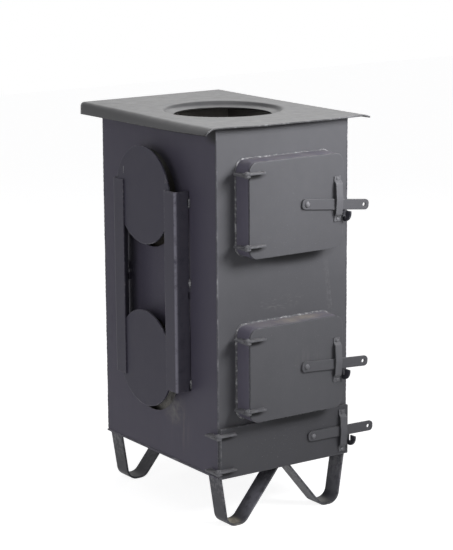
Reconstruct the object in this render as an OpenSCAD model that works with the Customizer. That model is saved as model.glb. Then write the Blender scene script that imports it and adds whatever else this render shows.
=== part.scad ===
// Steel cookstove: a welded sheet body on bent-strap feet, with two fire doors on
// collars, an ash door, lever latches and a round pot hole in the top.
// Lengths are millimetres. The front faces -Y and +Z is up.

/* [Body] */
// Width of the body across the front
body_w = 300; // [280:1:340]
// Depth of the body from front to rear
body_d = 400; // [380:1:460]
// Height of the walls
wall_h = 660; // [640:1:720]
// Thickness of the wall sheet
sheet_t = 3; // [2:0.5:4]
// Thickness of the bottom plate
base_t = 3; // [2:0.5:6]
// Step by which the bottom plate stands out at the sides and the rear
base_edge = 1.5; // [0.5:0.5:3]

/* [Top plate] */
// Thickness of the top plate
top_t = 3; // [2:0.5:4]
// Overhang of the top plate at each side, at its front end
top_side = 39; // [25:0.5:50]
// Overhang of the top plate at each side, at its rear end
top_side_rear = 17; // [12:0.5:24]
// Overhang of the top plate at the front
top_front = 25.5; // [10:0.5:50]
// Overhang of the top plate at the rear
top_rear = 56; // [52:1:90]
// Height of the bent-down side lips
lip_drop = 17; // [15:0.5:30]
// Outer radius of the bend at the side lips
lip_r = 10; // [6:0.5:14]
// Radius of the pot hole
pot_r = 95; // [80:0.5:100]
// Distance of the pot hole's centre from the front
pot_y = 199; // [190:1:210]
// Depth of the pressed dish round the pot hole
dish_depth = 10; // [4:0.5:14]
// Width of the flat ledge at the bottom of the dish
dish_ledge = 10; // [4:0.5:12]
// Width of the dish's curved wall
dish_wall = 15; // [8:0.5:16]

/* [Feet] */
// Height of the feet
foot_h = 99; // [80:1:130]
// Width of the flat bar of the feet
foot_bar_w = 40; // [30:1:50]
// Thickness of the flat bar of the feet
foot_bar_t = 4; // [3:0.5:6]
// Inner radius of the bends at the sole
foot_r = 20; // [10:1:24]
// Width of the flat sole
sole_w = 8.5; // [5:0.5:24]
// Distance of the sole's outer end from the body's side
sole_in = 39.5; // [28:0.5:45]
// Distance of the foot's outer end from the body's side, at the bottom plate
foot_in = 3.5; // [1:0.5:10]
// Distance of the foot's inner end from the middle of the body
foot_mid = 10; // [6:1:30]
// How far the rear feet stand in from the back of the body
rear_foot_in = 5; // [0:1:20]

/* [Fire doors] */
// Width of a fire door
door_w = 214; // [190:1:220]
// Height of a fire door
door_h = 180; // [170:1:186]
// Thickness of a fire door
door_t = 4; // [3:0.5:6]
// Outer radius of the doors' and collars' corners
corner_r = 18; // [12:1:20]
// Depth of the collars in front of the body
collar_d = 40; // [30:1:60]
// Thickness of the collars' flat bar
collar_t = 4; // [3:0.5:6]
// Step by which a collar stands out past its door
collar_edge = 0.5; // [0.4:0.1:1.5]
// Gap between a closed door and what it shuts against
door_gap = 0.3; // [0.2:0.1:0.6]
// Height of the upper door's centre above the bottom
upper_z = 512.5; // [500:0.5:530]
// Height of the lower door's centre above the bottom
lower_z = 201.5; // [198:0.5:215]

/* [Ash door] */
// Distance of the ash door's ends inside the body's sides
ash_side = 1; // [0.8:0.1:4]
// Height of the ash door
ash_h = 98; // [90:1:102]
// Height of the ash door's lower edge above the bottom
ash_z = 1; // [0.5:0.5:4]
// Depth of the ash door's folded rim
ash_d = 8; // [6:0.5:12]
// Thickness of the ash door's sheet
ash_t = 3; // [2:0.5:4]
// Margin between the ash opening and the inside of the chamber at each side
ash_margin = 10; // [6:1:20]
// Height of the ash opening
ash_open_h = 80; // [70:1:84]

/* [Hinges] */
// Thickness of the hinge tabs and leaves
tab_t = 4; // [3:0.5:6]
// Width of the hinge tabs, and of their round ends
tab_w = 13; // [12:0.5:13.5]
// Length of a hinge tab behind its pin
tab_l = 37; // [25:1:40]
// Distance of a pin from the side that carries its tab
pin_side = 7; // [6.8:0.1:8]
// Distance of a pin in front of its door
pin_front = 3; // [2:0.5:5]
// Radius of the hinge pins
pin_r = 3; // [2:0.25:4]
// Reach of a hinge leaf from its pin along the door
leaf_l = 37; // [28:1:60]
// Depth of a hinge leaf in front of its door
leaf_d = 11; // [9:0.5:16]
// Running gap between a tab and the leaf above it
leaf_gap = 0.3; // [0.2:0.1:0.6]
// Height of the hinges' middle above a fire door's centre
hinge_rise = 1; // [0:0.5:4]
// Distance between a fire door's two hinges
hinge_span = 135; // [100:1:135]
// Distance between the ash door's two hinges
ash_hinge_span = 69; // [50:1:74]

/* [Latches] */
// Height of the latch levers' flat bar
lever_w = 20; // [16:1:22]
// Thickness of the latch levers' flat bar
lever_t = 4; // [3:0.5:4.5]
// Length of a lever from its rivet to its free end
lever_l = 145; // [135:1:160]
// Length of a lever behind its rivet
lever_tail = 11; // [10:1:16]
// Radius of the corners of the levers
lever_corner = 8; // [4:0.5:8]
// Radius of the eye near a lever's free end
eye_r = 3.5; // [2:0.25:5]
// Distance of the eye from the free end
eye_edge = 11; // [8:0.5:16]
// Gap between a lever and its door
lever_gap = 0.4; // [0.3:0.1:0.8]
// Radius of the lever rivets
rivet_r = 3; // [2:0.25:4]
// Radius of the lever rivets' heads
rivet_head_r = 5.5; // [5:0.5:7]
// Height of the lever rivets' round heads
rivet_head_h = 3.5; // [2:0.5:5]
// Angle of the upper lever at rest
upper_tilt = -6; // [-7:0.5:0]
// Angle of the lower lever at rest
lower_tilt = -3.5; // [-7:0.5:0]
// Angle of the ash lever at rest
ash_tilt = -1; // [-4:0.5:0]
// Height of a lever's rivet above the middle of its door
lever_rise = 1; // [0:0.5:3]
// Sideways place of the fire levers' rivets
lever_x = 20; // [10:1:30]
// Sideways place of the ash lever's rivet
ash_lever_x = 62; // [50:1:72]

/* [Lever guides] */
// Width of the bent guide straps
guide_w = 15; // [12:1:20]
// Thickness of the guide straps
guide_t = 2.5; // [2:0.25:3]
// Length of a fire door's guide strap
guide_l = 86; // [84:1:92]
// Length of the ash door's guide strap
ash_guide_l = 84; // [80:1:86]
// Height of a guide above a fire door's centre
guide_rise = 4; // [2:0.5:5]
// Sideways place of the fire doors' guides
guide_x = 92; // [84:1:96]
// Sideways place of the ash door's guide
ash_guide_x = 133; // [120:1:138]
// Inner height of a guide where its ramps end
guide_lift = 5.2; // [5:0.1:7]
// Inner height of a guide at its crease
guide_crest = 8; // [7.5:0.5:12]
// Length of a guide's riveted ends
guide_foot = 9; // [8:0.5:11]
// Length of a guide's ramps
guide_ramp = 5; // [3:0.5:6]
// Radius of the guide rivets
small_rivet_r = 2; // [1.5:0.25:2.5]
// Radius of the guide rivets' heads
small_head_r = 3.5; // [3:0.25:4]

/* [Catches] */
// Thickness of the catch plates
catch_t = 4; // [3:0.5:6]
// Radius of a catch's round nose
catch_r = 18; // [16:0.5:22]
// Distance of the nose's centre in front of the door
catch_lead = 2; // [0:0.5:4]
// Length of a catch behind the door's face
catch_l = 34; // [20:1:36]
// Height from the nose's centre to its flat top
catch_top = 3; // [1:0.5:8]
// Depth of the notch that takes the lowered lever
notch_deep = 12; // [8:0.5:14]
// Play of the lever in the notch, at each side
notch_play = 1.6; // [1:0.1:2.5]
// Gap between the nose and the resting lever
nose_gap = 1.4; // [1:0.1:2.5]

/* [Side rails] */
// Distance that the rails stand out from the side
rail_d = 33; // [25:1:45]
// Width of the rails' flanges
rail_flange = 37; // [25:1:50]
// Thickness of the rails
rail_t = 3; // [2:0.5:4]
// Outer radius of the rails' bends
rail_r = 5; // [4:0.5:8]
// Length of the rails
rail_l = 385; // [340:1:420]
// Height of the rails' lower ends
rail_z = 152; // [140:1:170]
// Distance between the rails' outer sides
rail_span = 220; // [212:1:240]
// Distance of the middle of the rails from the front
rail_mid = 200; // [190:1:210]
// Gap between a rail's trimmed edge and the side
rail_gap = 2; // [1:0.5:3]
// Length of the three seats on which a rail is welded
rail_seat = 14; // [8:1:24]
// Distance of the outer seats from the rail's ends
rail_seat_in = 7; // [0:1:20]

/* [Side ports and discs] */
// Radius of the side ports
port_r = 95; // [80:0.5:98]
// Distance of the ports' centres from the front
port_y = 228; // [215:1:240]
// Height of the upper port's centre
upper_port_z = 505; // [500:1:515]
// Height of the lower port's centre
lower_port_z = 180; // [170:1:190]
// Radius of the discs in front of the ports
disc_r = 94.5; // [88:0.5:96]
// Thickness of the discs
disc_t = 4; // [3:0.5:6]
// Distance of the discs' centres from the front
disc_y = 207; // [204:1:208]
// Height of the upper disc's centre
upper_disc_z = 516; // [500:1:525]
// Height of the lower disc's centre
lower_disc_z = 197; // [185:1:210]

/* [Inside] */
// Width of the air space behind the side ports
air_gap = 22; // [10:1:22]
// Thickness of the liner that closes the air space
liner_t = 2.5; // [2:0.5:4]
// Play round the loose inner pieces
play = 1.5; // [1:0.25:4]
// Width of the ledge angles
ledge_w = 20; // [15:1:30]
// Thickness of the ledge angles
ledge_t = 3; // [2:0.5:4]
// Distance of the ledges' ends from the front and rear walls
ledge_in = 20; // [10:1:40]
// Height of the top of the grate ledges
grate_z = 104; // [102:0.5:106]
// Thickness of the fire grate
grate_t = 8; // [6:0.5:9]
// Width of the grate's outer frame
grate_rim = 16; // [12:1:24]
// Width of the slots in the grate
slot_w = 12; // [8:1:16]
// Width of the bars between the slots
bar_w = 10; // [8:1:16]
// Height of the top of the baffle ledges
baffle_z = 345; // [320:1:380]
// Thickness of the smoke baffle
baffle_t = 3; // [2:0.5:5]
// Width of the smoke passage in front of the baffle
baffle_throat = 110; // [80:1:150]
// Height of the ash pan
pan_h = 58; // [40:1:66]
// Thickness of the ash pan's sheet
pan_t = 1.5; // [1:0.25:3]
// Distance of the ash pan's front behind the front panel
pan_in = 28; // [22:1:50]
// Distance of the ash pan's rear from the rear panel
pan_rear = 15; // [5:1:40]
// Play between the ash pan and the ash opening at each side
pan_play = 4; // [2:0.5:10]
// Width of the ash pan's pull loop
pull_w = 70; // [50:1:100]
// Reach of the pull loop in front of the pan
pull_reach = 20; // [15:1:20]
// Height of the pull loop's strip
pull_h = 14; // [8:1:20]
// Thickness of the pull loop's strip
pull_t = 2; // [1.5:0.25:3]

/* [Flue] */
// Outer radius of the flue collar at the rear
flue_r = 60; // [50:0.5:75]
// Wall thickness of the flue collar
flue_t = 2; // [1.5:0.25:4]
// Length of the flue collar
flue_l = 50; // [40:1:51]
// Height of the flue collar's centre
flue_z = 540; // [500:1:560]

/* [Hidden] */
$fn = 96;
// Radial running clearance of every pin and rivet in its hole
run = 0.05;
// Height of the small button heads on pins and guide rivets
button_h = 2;
// Radius by which a pin's head is larger than the pin
pin_head = 2;
// Depth of the tail heads on the inner side of the doors
tail_h = 1.5;
// Lift of a pin's upper head above its leaf
head_gap = 0.2;
// Number of steps in the dish's curved wall
dish_steps = 12;
// Overlap of cutting shapes past the faces that they cut
cut = 1;
// Overlap of shapes that make one solid
lap = 0.5;

half_w = body_w / 2;
wall_z = base_t;
body_top = wall_z + wall_h;
top_z = body_top + top_t;
side_x = half_w + top_side;
top_l = body_d + top_front + top_rear;
// Angle at which the top plate's sides slant in towards the rear
flare = atan((top_side - top_side_rear) / top_l);

collar_w = door_w + 2 * collar_edge;
collar_h = door_h;
fire_face = -(collar_d + door_gap + door_t);
ash_face = -ash_d;
ash_w = body_w - 2 * ash_side;
ash_mid = ash_z + ash_h / 2;
upper_rivet_z = upper_z + lever_rise;
lower_rivet_z = lower_z + lever_rise;
ash_rivet_z = ash_mid + lever_rise;

liner_x = -half_w + sheet_t + air_gap;
room_x0 = liner_x + liner_t;
room_x1 = half_w - sheet_t;
room_mid = (room_x0 + room_x1) / 2;
room_w = room_x1 - room_x0;
ash_open_w = room_w - 2 * ash_margin;
ash_open_z = ash_mid - ash_open_h / 2;
pan_w = ash_open_w - 2 * pan_play;
pan_l = body_d - sheet_t - pan_rear - sheet_t - pan_in;

dish_in = pot_r + dish_ledge;
dish_out = dish_in + dish_wall;

rail_front = rail_mid - rail_span / 2;
rail_rear = rail_mid + rail_span / 2;
disc_x = -half_w - rail_d + rail_t;

fire_catch_x = collar_w / 2;
ash_catch_x = half_w;

// Reach of a tilted lever from its rivet along X
function lever_reach(tilt) = (lever_l - lever_corner) * cos(tilt)
    + (lever_w / 2 - lever_corner) * abs(sin(tilt)) + lever_corner;

// Height of a lever's lower edge at a distance from its rivet
function lever_under(tilt, reach) = reach * tan(tilt) - lever_w / 2 / cos(tilt);

// Box of the whole stove, which puts the origin at the middle of its footprint
x_low = -side_x;
x_high = max(side_x, ash_lever_x + lever_reach(ash_tilt), lever_x + lever_reach(upper_tilt));
y_low = min(-top_front, fire_face - catch_lead - catch_r);
y_high = body_d + top_rear;
shift = [-(x_low + x_high) / 2, -(y_low + y_high) / 2, foot_h];

steel = [0.27, 0.27, 0.29];
dark_steel = [0.22, 0.22, 0.24];
worn_steel = [0.36, 0.36, 0.38];
cast_iron = [0.17, 0.17, 0.17];
inner_steel = [0.30, 0.27, 0.25];

// Moves a piece from the body's own frame, with its origin at the middle of the
// front's lower edge, to the stove's frame
module in_frame() {
    translate(shift) children();
}

// Extrudes a shape drawn in X and Z along Y, from y0 over a length
module along_y(y0, length) {
    translate([0, y0 + length, 0]) rotate([90, 0, 0]) linear_extrude(length) children();
}

// Extrudes a shape drawn in Y and Z along X, from x0 over a length
module along_x(x0, length) {
    translate([x0, 0, 0]) rotate([90, 0, 90]) linear_extrude(length) children();
}

// A rectangle with round corners, centred on the origin
module round_rect(w, h, r) {
    square([w - 2 * r, h], center = true);
    square([w, h - 2 * r], center = true);
    for (x = [-1, 1], y = [-1, 1])
        translate([x * (w / 2 - r), y * (h / 2 - r)]) circle(r);
}

// A quarter of a rectangle w by h, with a round corner at its lower left and the
// rest running on past the other two sides
module corner_block(w, h, r) {
    translate([r, 0]) square([w - r + cut, h + cut]);
    translate([0, r]) square([w + cut, h - r + cut]);
    translate([r, r]) circle(r);
}

// An angle of sheet t thick, w by h outside, with a bend of outer radius r at its
// lower left
module bent_angle(w, h, t, r) {
    intersection() {
        difference() {
            corner_block(w, h, r);
            translate([t, t]) corner_block(w, h, r - t);
        }
        square([w, h]);
    }
}

// A low round head that stands on z = 0
module round_head(r, h) {
    ball = (r * r + h * h) / (2 * h);
    rotate_extrude() intersection() {
        translate([0, h - ball]) circle(ball);
        square([r + cut, h + cut]);
    }
}

module base_plate() {
    color(steel) in_frame()
        translate([-half_w - base_edge, 0, 0])
            cube([body_w + 2 * base_edge, body_d + base_edge, base_t]);
}

// The opening behind a fire door, as wide as the inside of its collar
module doorway(z) {
    translate([0, z]) round_rect(collar_w - 2 * collar_t, collar_h - 2 * collar_t,
                                 corner_r - collar_t);
}

module front_panel() {
    color(steel) in_frame() along_y(0, sheet_t) difference() {
        translate([-half_w, wall_z]) square([body_w, wall_h]);
        doorway(upper_z);
        doorway(lower_z);
        translate([room_mid - ash_open_w / 2, ash_open_z]) square([ash_open_w, ash_open_h]);
    }
}

module rear_panel() {
    color(steel) in_frame() along_y(body_d - sheet_t, sheet_t) difference() {
        translate([-half_w, wall_z]) square([body_w, wall_h]);
        translate([0, flue_z]) circle(flue_r - flue_t);
    }
}

// A side wall's outline, between the front and rear panels
module side_outline() {
    translate([sheet_t, wall_z]) square([body_d - 2 * sheet_t, wall_h]);
}

module left_panel() {
    color(steel) in_frame() along_x(-half_w, sheet_t) difference() {
        side_outline();
        for (z = [upper_port_z, lower_port_z])
            translate([port_y, z]) circle(port_r);
    }
}

module right_panel() {
    color(steel) in_frame() along_x(half_w - sheet_t, sheet_t) side_outline();
}

// Left half of the top plate: a flat sheet whose bent-down side slants in towards
// the rear, cut off straight at both ends and just past the middle
module top_half() {
    intersection() {
        translate([-side_x, -top_front, top_z]) rotate([0, 0, -flare])
            along_y(-cut, top_l / cos(flare) + side_x * sin(flare) + 2 * cut)
                mirror([0, 1]) bent_angle(side_x + lap, lip_drop, top_t, lip_r);
        translate([-side_x - cut, -top_front, top_z - lip_drop - cut])
            cube([side_x + cut + lap, top_l, lip_drop + 2 * cut]);
    }
}

// Height of the dish's wall at a fraction of its width: a smooth step
function dish_rise(f) = -dish_depth * (1 - f * f * (3 - 2 * f));

// Points of one surface of the dish, from the ledge out to the rim, at a height
function dish_line(z) = [for (i = [0 : dish_steps]) let(f = i / dish_steps)
    [dish_in + dish_wall * f, z + dish_rise(f)]];

module top_plate() {
    upper = dish_line(top_z);
    lower = dish_line(body_top);
    color(steel) in_frame() {
        difference() {
            for (m = [0, 1]) mirror([m, 0, 0]) top_half();
            translate([0, pot_y, body_top - cut]) cylinder(r = dish_out, h = top_t + 2 * cut);
        }
        translate([0, pot_y, 0]) rotate_extrude()
            polygon(concat([[pot_r, top_z - dish_depth]], upper,
                           [[dish_out + lap, top_z], [dish_out + lap, body_top]],
                           [for (i = [dish_steps : -1 : 0]) lower[i]],
                           [[pot_r, body_top - dish_depth]]));
    }
}

// One side of a foot's flat bar seen from the front: two legs that touch the round
// ends of the sole, of radius r, and run on past the bottom plate
module foot_outline(r, outer_c, inner_c, outer_a, inner_a) {
    outer_p = outer_c + r * [cos(outer_a), sin(outer_a)];
    inner_p = inner_c + r * [cos(inner_a), sin(inner_a)];
    polygon([outer_p + [sin(outer_a), -cos(outer_a)] * (cut - outer_p[1]) / -cos(outer_a),
             outer_p, outer_c - [0, r], inner_c - [0, r], inner_p,
             inner_p + [-sin(inner_a), cos(inner_a)] * (cut - inner_p[1]) / cos(inner_a)]);
    translate(outer_c) circle(r);
    translate(inner_c) circle(r);
}

// A foot of flat bar seen from the front, bent into a loop: an outer leg, a sole
// with a round bend at each end, and a leg that slants up to the middle
module foot_loop() {
    bend = foot_r + foot_bar_t;
    outer_c = [-half_w + sole_in, bend - foot_h];
    inner_c = outer_c + [sole_w, 0];
    to_outer = outer_c - [-half_w + foot_in, 0];
    to_inner = [-foot_mid, 0] - inner_c;
    outer_a = atan2(to_outer[1], to_outer[0]) - asin(bend / norm(to_outer)) - 90;
    inner_a = atan2(to_inner[1], to_inner[0]) - acos(bend / norm(to_inner));
    intersection() {
        difference() {
            foot_outline(bend, outer_c, inner_c, outer_a, inner_a);
            foot_outline(foot_r, outer_c, inner_c, outer_a, inner_a);
        }
        translate([-half_w, -foot_h]) square([half_w, foot_h]);
    }
}

// A foot on the left (side 0) or the right (side 1), with its bar from y0 backwards
module foot(side, y0) {
    color(dark_steel) in_frame() mirror([side, 0, 0]) along_y(y0, foot_bar_w) foot_loop();
}

module front_left_foot() foot(0, 0);
module front_right_foot() foot(1, 0);
module rear_left_foot() foot(0, body_d - rear_foot_in - foot_bar_w);
module rear_right_foot() foot(1, body_d - rear_foot_in - foot_bar_w);

// A collar of flat bar that carries a fire door in front of the body
module collar(z) {
    color(steel) in_frame() along_y(-collar_d, collar_d) difference() {
        translate([0, z]) round_rect(collar_w, collar_h, corner_r);
        doorway(z);
    }
}

module upper_collar() collar(upper_z);
module lower_collar() collar(lower_z);

module flue_collar() {
    color(dark_steel) in_frame() along_y(body_d, flue_l) translate([0, flue_z]) difference() {
        circle(flue_r);
        circle(flue_r - flue_t);
    }
}

// The front rail: an angle with its leg trimmed back from the side, a flange that
// reaches towards the discs, and the three seats by which it is welded to the side
module rail() {
    middle = rail_l / 2 - rail_seat / 2;
    translate([-half_w - rail_d, rail_front, rail_z]) {
        linear_extrude(rail_l) bent_angle(rail_d - rail_gap, rail_flange, rail_t, rail_r);
        for (z = [rail_seat_in, middle, rail_l - rail_seat_in - rail_seat])
            translate([rail_d - rail_gap - rail_t, 0, z])
                cube([rail_gap + rail_t, rail_t, rail_seat]);
    }
}

module front_side_rail() {
    color(worn_steel) in_frame() rail();
}

module rear_side_rail() {
    color(worn_steel) in_frame()
        translate([0, 2 * rail_mid, 0]) mirror([0, 1, 0]) rail();
}

// A disc in front of a side port, welded behind the flanges of the rails
module disc(z) {
    color(worn_steel) in_frame() along_x(disc_x, disc_t) translate([disc_y, z]) circle(disc_r);
}

module upper_disc() disc(upper_disc_z);
module lower_disc() disc(lower_disc_z);

module side_liner() {
    color(inner_steel) in_frame() along_x(liner_x, liner_t) side_outline();
}

module smoke_baffle() {
    y0 = sheet_t + baffle_throat;
    color(inner_steel) in_frame()
        translate([room_x0 + play, y0, baffle_z])
            cube([room_w - 2 * play, body_d - sheet_t - play - y0, baffle_t]);
}

// A pair of angles along the two sides of the chamber, with their tops at z
module ledges(z) {
    color(inner_steel) in_frame()
        along_y(sheet_t + ledge_in, body_d - 2 * sheet_t - 2 * ledge_in)
            for (m = [0, 1]) translate([room_mid, z]) mirror([m, 0]) {
                translate([-room_w / 2, -ledge_t]) square([ledge_w, ledge_t]);
                translate([-room_w / 2, -ledge_w]) square([ledge_t, ledge_w]);
            }
}

module baffle_ledges() ledges(baffle_z);
module grate_ledges() ledges(grate_z);

// The cast fire grate: a frame with a row of slots that are split by a middle bar
module fire_grate() {
    w = room_w - 2 * play;
    l = body_d - 2 * sheet_t - 2 * play;
    count = floor((w - 2 * grate_rim + bar_w) / (slot_w + bar_w));
    row = count * (slot_w + bar_w) - bar_w;
    slot_l = (l - 3 * grate_rim) / 2;
    color(cast_iron) in_frame()
        translate([room_mid - w / 2, sheet_t + play, grate_z]) linear_extrude(grate_t)
            difference() {
                square([w, l]);
                for (i = [0 : count - 1], j = [0, 1])
                    translate([(w - row) / 2 + i * (slot_w + bar_w),
                               grate_rim + j * (slot_l + grate_rim)])
                        square([slot_w, slot_l]);
            }
}

// The ash pan: an open tray
module ash_pan() {
    color(inner_steel) in_frame()
        translate([room_mid - pan_w / 2, sheet_t + pan_in, wall_z]) difference() {
            cube([pan_w, pan_l, pan_h]);
            translate([pan_t, pan_t, pan_t])
                cube([pan_w - 2 * pan_t, pan_l - 2 * pan_t, pan_h]);
        }
}

// The bent loop on the pan's front, by which it is pulled out
module ash_pan_pull() {
    color(inner_steel) in_frame()
        translate([room_mid - pull_w / 2, sheet_t + pan_in - pull_reach,
                   wall_z + (pan_h - pull_h) / 2]) difference() {
            cube([pull_w, pull_reach, pull_h]);
            translate([pull_t, pull_t, -cut])
                cube([pull_w - 2 * pull_t, pull_reach, pull_h + 2 * cut]);
        }
}

// Heights of the two hinges round a middle height
function hinge_heights(mid, span) = [mid - span / 2, mid + span / 2];
fire_hinges = [for (z = [upper_z, lower_z]) hinge_heights(z + hinge_rise, hinge_span)];
ash_hinges = hinge_heights(ash_mid + hinge_rise, ash_hinge_span);

// Place of the pins of a door: beside what carries the tabs and before the door
function pin_at(side, face) = [-side - pin_side, face - pin_front];

// Hinge tabs on the left side of a collar or the body, below their leaves
module hinge_tabs(side, face, heights) {
    p = pin_at(side, face);
    color(steel) in_frame() for (z = heights)
        translate([p[0], p[1], z - leaf_gap / 2 - tab_t]) linear_extrude(tab_t) difference() {
            union() {
                circle(tab_w / 2);
                translate([-tab_w / 2, 0]) square([tab_w / 2 + pin_side, tab_l]);
            }
            circle(pin_r + run);
        }
}

module upper_hinge_tabs() hinge_tabs(collar_w / 2, fire_face, fire_hinges[0]);
module lower_hinge_tabs() hinge_tabs(collar_w / 2, fire_face, fire_hinges[1]);
module ash_hinge_tabs() hinge_tabs(half_w, ash_face, ash_hinges);

// Hinge leaves welded to a door's face, above their tabs
module hinge_leaves(side, face, heights) {
    p = pin_at(side, face);
    color(steel) in_frame() for (z = heights)
        translate([p[0], p[1], z + leaf_gap / 2]) linear_extrude(tab_t) difference() {
            union() {
                circle(tab_w / 2);
                translate([0, pin_front - leaf_d]) square([leaf_l, leaf_d]);
            }
            circle(pin_r + run);
        }
}

module upper_hinge_leaves() hinge_leaves(collar_w / 2, fire_face, fire_hinges[0]);
module lower_hinge_leaves() hinge_leaves(collar_w / 2, fire_face, fire_hinges[1]);
module ash_hinge_leaves() hinge_leaves(half_w, ash_face, ash_hinges);

// Riveted hinge pins, with a head under the tab and one above the leaf
module hinge_pins(side, face, heights) {
    p = pin_at(side, face);
    stack = 2 * tab_t + leaf_gap + head_gap;
    color(worn_steel) in_frame() for (z = heights)
        translate([p[0], p[1], z - leaf_gap / 2 - tab_t]) {
            cylinder(r = pin_r, h = stack);
            translate([0, 0, stack]) round_head(pin_r + pin_head, button_h);
            mirror([0, 0, 1]) round_head(pin_r + pin_head, button_h);
        }
}

module upper_hinge_pins() hinge_pins(collar_w / 2, fire_face, fire_hinges[0]);
module lower_hinge_pins() hinge_pins(collar_w / 2, fire_face, fire_hinges[1]);
module ash_hinge_pins() hinge_pins(half_w, ash_face, ash_hinges);

// A catch plate: a rear part that is welded on, a notch for the lowered lever and
// a round nose in front of it. The nose ends below the resting lever, so that the
// door can swing when the lever is up.
module catch(x0, face, rivet_x, rivet_z, tilt) {
    top = rivet_z + lever_under(tilt, x0 - rivet_x) - nose_gap;
    mid = top - catch_top;
    lever_back = face - lever_gap;
    notch_y = lever_back - lever_t - notch_play;
    notch_w = lever_t + 2 * notch_play;
    color(dark_steel) in_frame() along_x(x0, catch_t) difference() {
        union() {
            translate([face - catch_lead, mid]) circle(catch_r);
            translate([face - catch_lead, mid - catch_r])
                square([catch_l + catch_lead, 2 * catch_r]);
        }
        translate([notch_y, top - notch_deep]) square([notch_w, notch_deep + catch_r]);
        translate([face - catch_lead - 2 * catch_r, top])
            square([notch_y + cut - face + catch_lead + 2 * catch_r, catch_r]);
    }
}

module upper_catch() catch(fire_catch_x, fire_face, lever_x, upper_rivet_z, upper_tilt);
module lower_catch() catch(fire_catch_x, fire_face, lever_x, lower_rivet_z, lower_tilt);
module ash_catch() catch(ash_catch_x, ash_face, ash_lever_x, ash_rivet_z, ash_tilt);

// Holes through a door for the lever's rivet and the two rivets of the guide
module latch_holes(rivet_x, rivet_z, strap_x, strap_z, strap_l) {
    translate([rivet_x, rivet_z]) circle(rivet_r + run);
    for (s = [-1, 1])
        translate([strap_x, strap_z + s * (strap_l - guide_foot) / 2]) circle(small_rivet_r + run);
}

module fire_door(z) {
    color(steel) in_frame() along_y(fire_face, door_t) difference() {
        translate([0, z]) round_rect(door_w, door_h, corner_r);
        latch_holes(lever_x, z + lever_rise, guide_x, z + guide_rise, guide_l);
    }
}

module upper_door() fire_door(upper_z);
module lower_door() fire_door(lower_z);

// The ash door: a shallow tray with its rim folded back to the front panel
module ash_door() {
    color(steel) in_frame() {
        along_y(ash_face, ash_t) difference() {
            translate([-ash_w / 2, ash_z]) square([ash_w, ash_h]);
            latch_holes(ash_lever_x, ash_rivet_z, ash_guide_x, ash_mid, ash_guide_l);
        }
        along_y(ash_face + ash_t - lap, ash_d - ash_t - door_gap + lap) difference() {
            translate([-ash_w / 2, ash_z]) square([ash_w, ash_h]);
            translate([ash_t - ash_w / 2, ash_z + ash_t])
                square([ash_w - 2 * ash_t, ash_h - 2 * ash_t]);
        }
    }
}

// Inner line of a guide as distances from the door and heights, from end to end
function guide_line(length) = [
    [0, -length / 2], [0, guide_foot - length / 2],
    [guide_lift, guide_foot + guide_ramp - length / 2], [guide_crest, 0],
    [guide_lift, length / 2 - guide_foot - guide_ramp],
    [0, length / 2 - guide_foot], [0, length / 2]
];

// A bent guide strap that holds a lever against its door
module guide(x, z, face, length) {
    inner = guide_line(length);
    count = len(inner);
    color(worn_steel) in_frame() difference() {
        along_x(x - guide_w / 2, guide_w) translate([face, z])
            polygon(concat([for (p = inner) [-p[0], p[1]]],
                           [for (i = [count - 1 : -1 : 0])
                               [-inner[i][0] - guide_t, inner[i][1]]]));
        for (s = [-1, 1])
            translate([x, face + cut, z + s * (length - guide_foot) / 2]) rotate([90, 0, 0])
                cylinder(r = small_rivet_r + run, h = guide_t + 2 * cut);
    }
}

module upper_guide() guide(guide_x, upper_z + guide_rise, fire_face, guide_l);
module lower_guide() guide(guide_x, lower_z + guide_rise, fire_face, guide_l);
module ash_guide() guide(ash_guide_x, ash_mid, ash_face, ash_guide_l);

// A rivet along Y: a shank from the back of a door to its outer head
module rivet(r, head_r, head_h, back, front) {
    translate([0, back, 0]) rotate([90, 0, 0]) {
        cylinder(r = r, h = back - front);
        translate([0, 0, back - front]) round_head(head_r, head_h);
        mirror([0, 0, 1]) round_head(head_r, tail_h);
    }
}

module guide_rivets(x, z, face, plate_t, length) {
    color(worn_steel) in_frame() for (s = [-1, 1])
        translate([x, 0, z + s * (length - guide_foot) / 2])
            rivet(small_rivet_r, small_head_r, button_h, face + plate_t, face - guide_t);
}

module upper_guide_rivets() guide_rivets(guide_x, upper_z + guide_rise, fire_face, door_t, guide_l);
module lower_guide_rivets() guide_rivets(guide_x, lower_z + guide_rise, fire_face, door_t, guide_l);
module ash_guide_rivets() guide_rivets(ash_guide_x, ash_mid, ash_face, ash_t, ash_guide_l);

module lever_rivet(x, z, face, plate_t) {
    color(worn_steel) in_frame() translate([x, 0, z])
        rivet(rivet_r, rivet_head_r, rivet_head_h, face + plate_t,
              face - lever_gap - lever_t - head_gap);
}

module upper_lever_rivet() lever_rivet(lever_x, upper_rivet_z, fire_face, door_t);
module lower_lever_rivet() lever_rivet(lever_x, lower_rivet_z, fire_face, door_t);
module ash_lever_rivet() lever_rivet(ash_lever_x, ash_rivet_z, ash_face, ash_t);

// A latch lever of flat bar that turns on its rivet, with an eye at its free end
module lever(x, z, face, tilt) {
    length = lever_l + lever_tail;
    color(worn_steel) in_frame()
        translate([x, 0, z]) rotate([0, -tilt, 0])
            along_y(face - lever_gap - lever_t, lever_t) difference() {
                translate([length / 2 - lever_tail, 0]) round_rect(length, lever_w, lever_corner);
                circle(rivet_r + run);
                translate([lever_l - eye_edge, 0]) circle(eye_r);
            }
}

module upper_lever() lever(lever_x, upper_rivet_z, fire_face, upper_tilt);
module lower_lever() lever(lever_x, lower_rivet_z, fire_face, lower_tilt);
module ash_lever() lever(ash_lever_x, ash_rivet_z, ash_face, ash_tilt);

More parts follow.
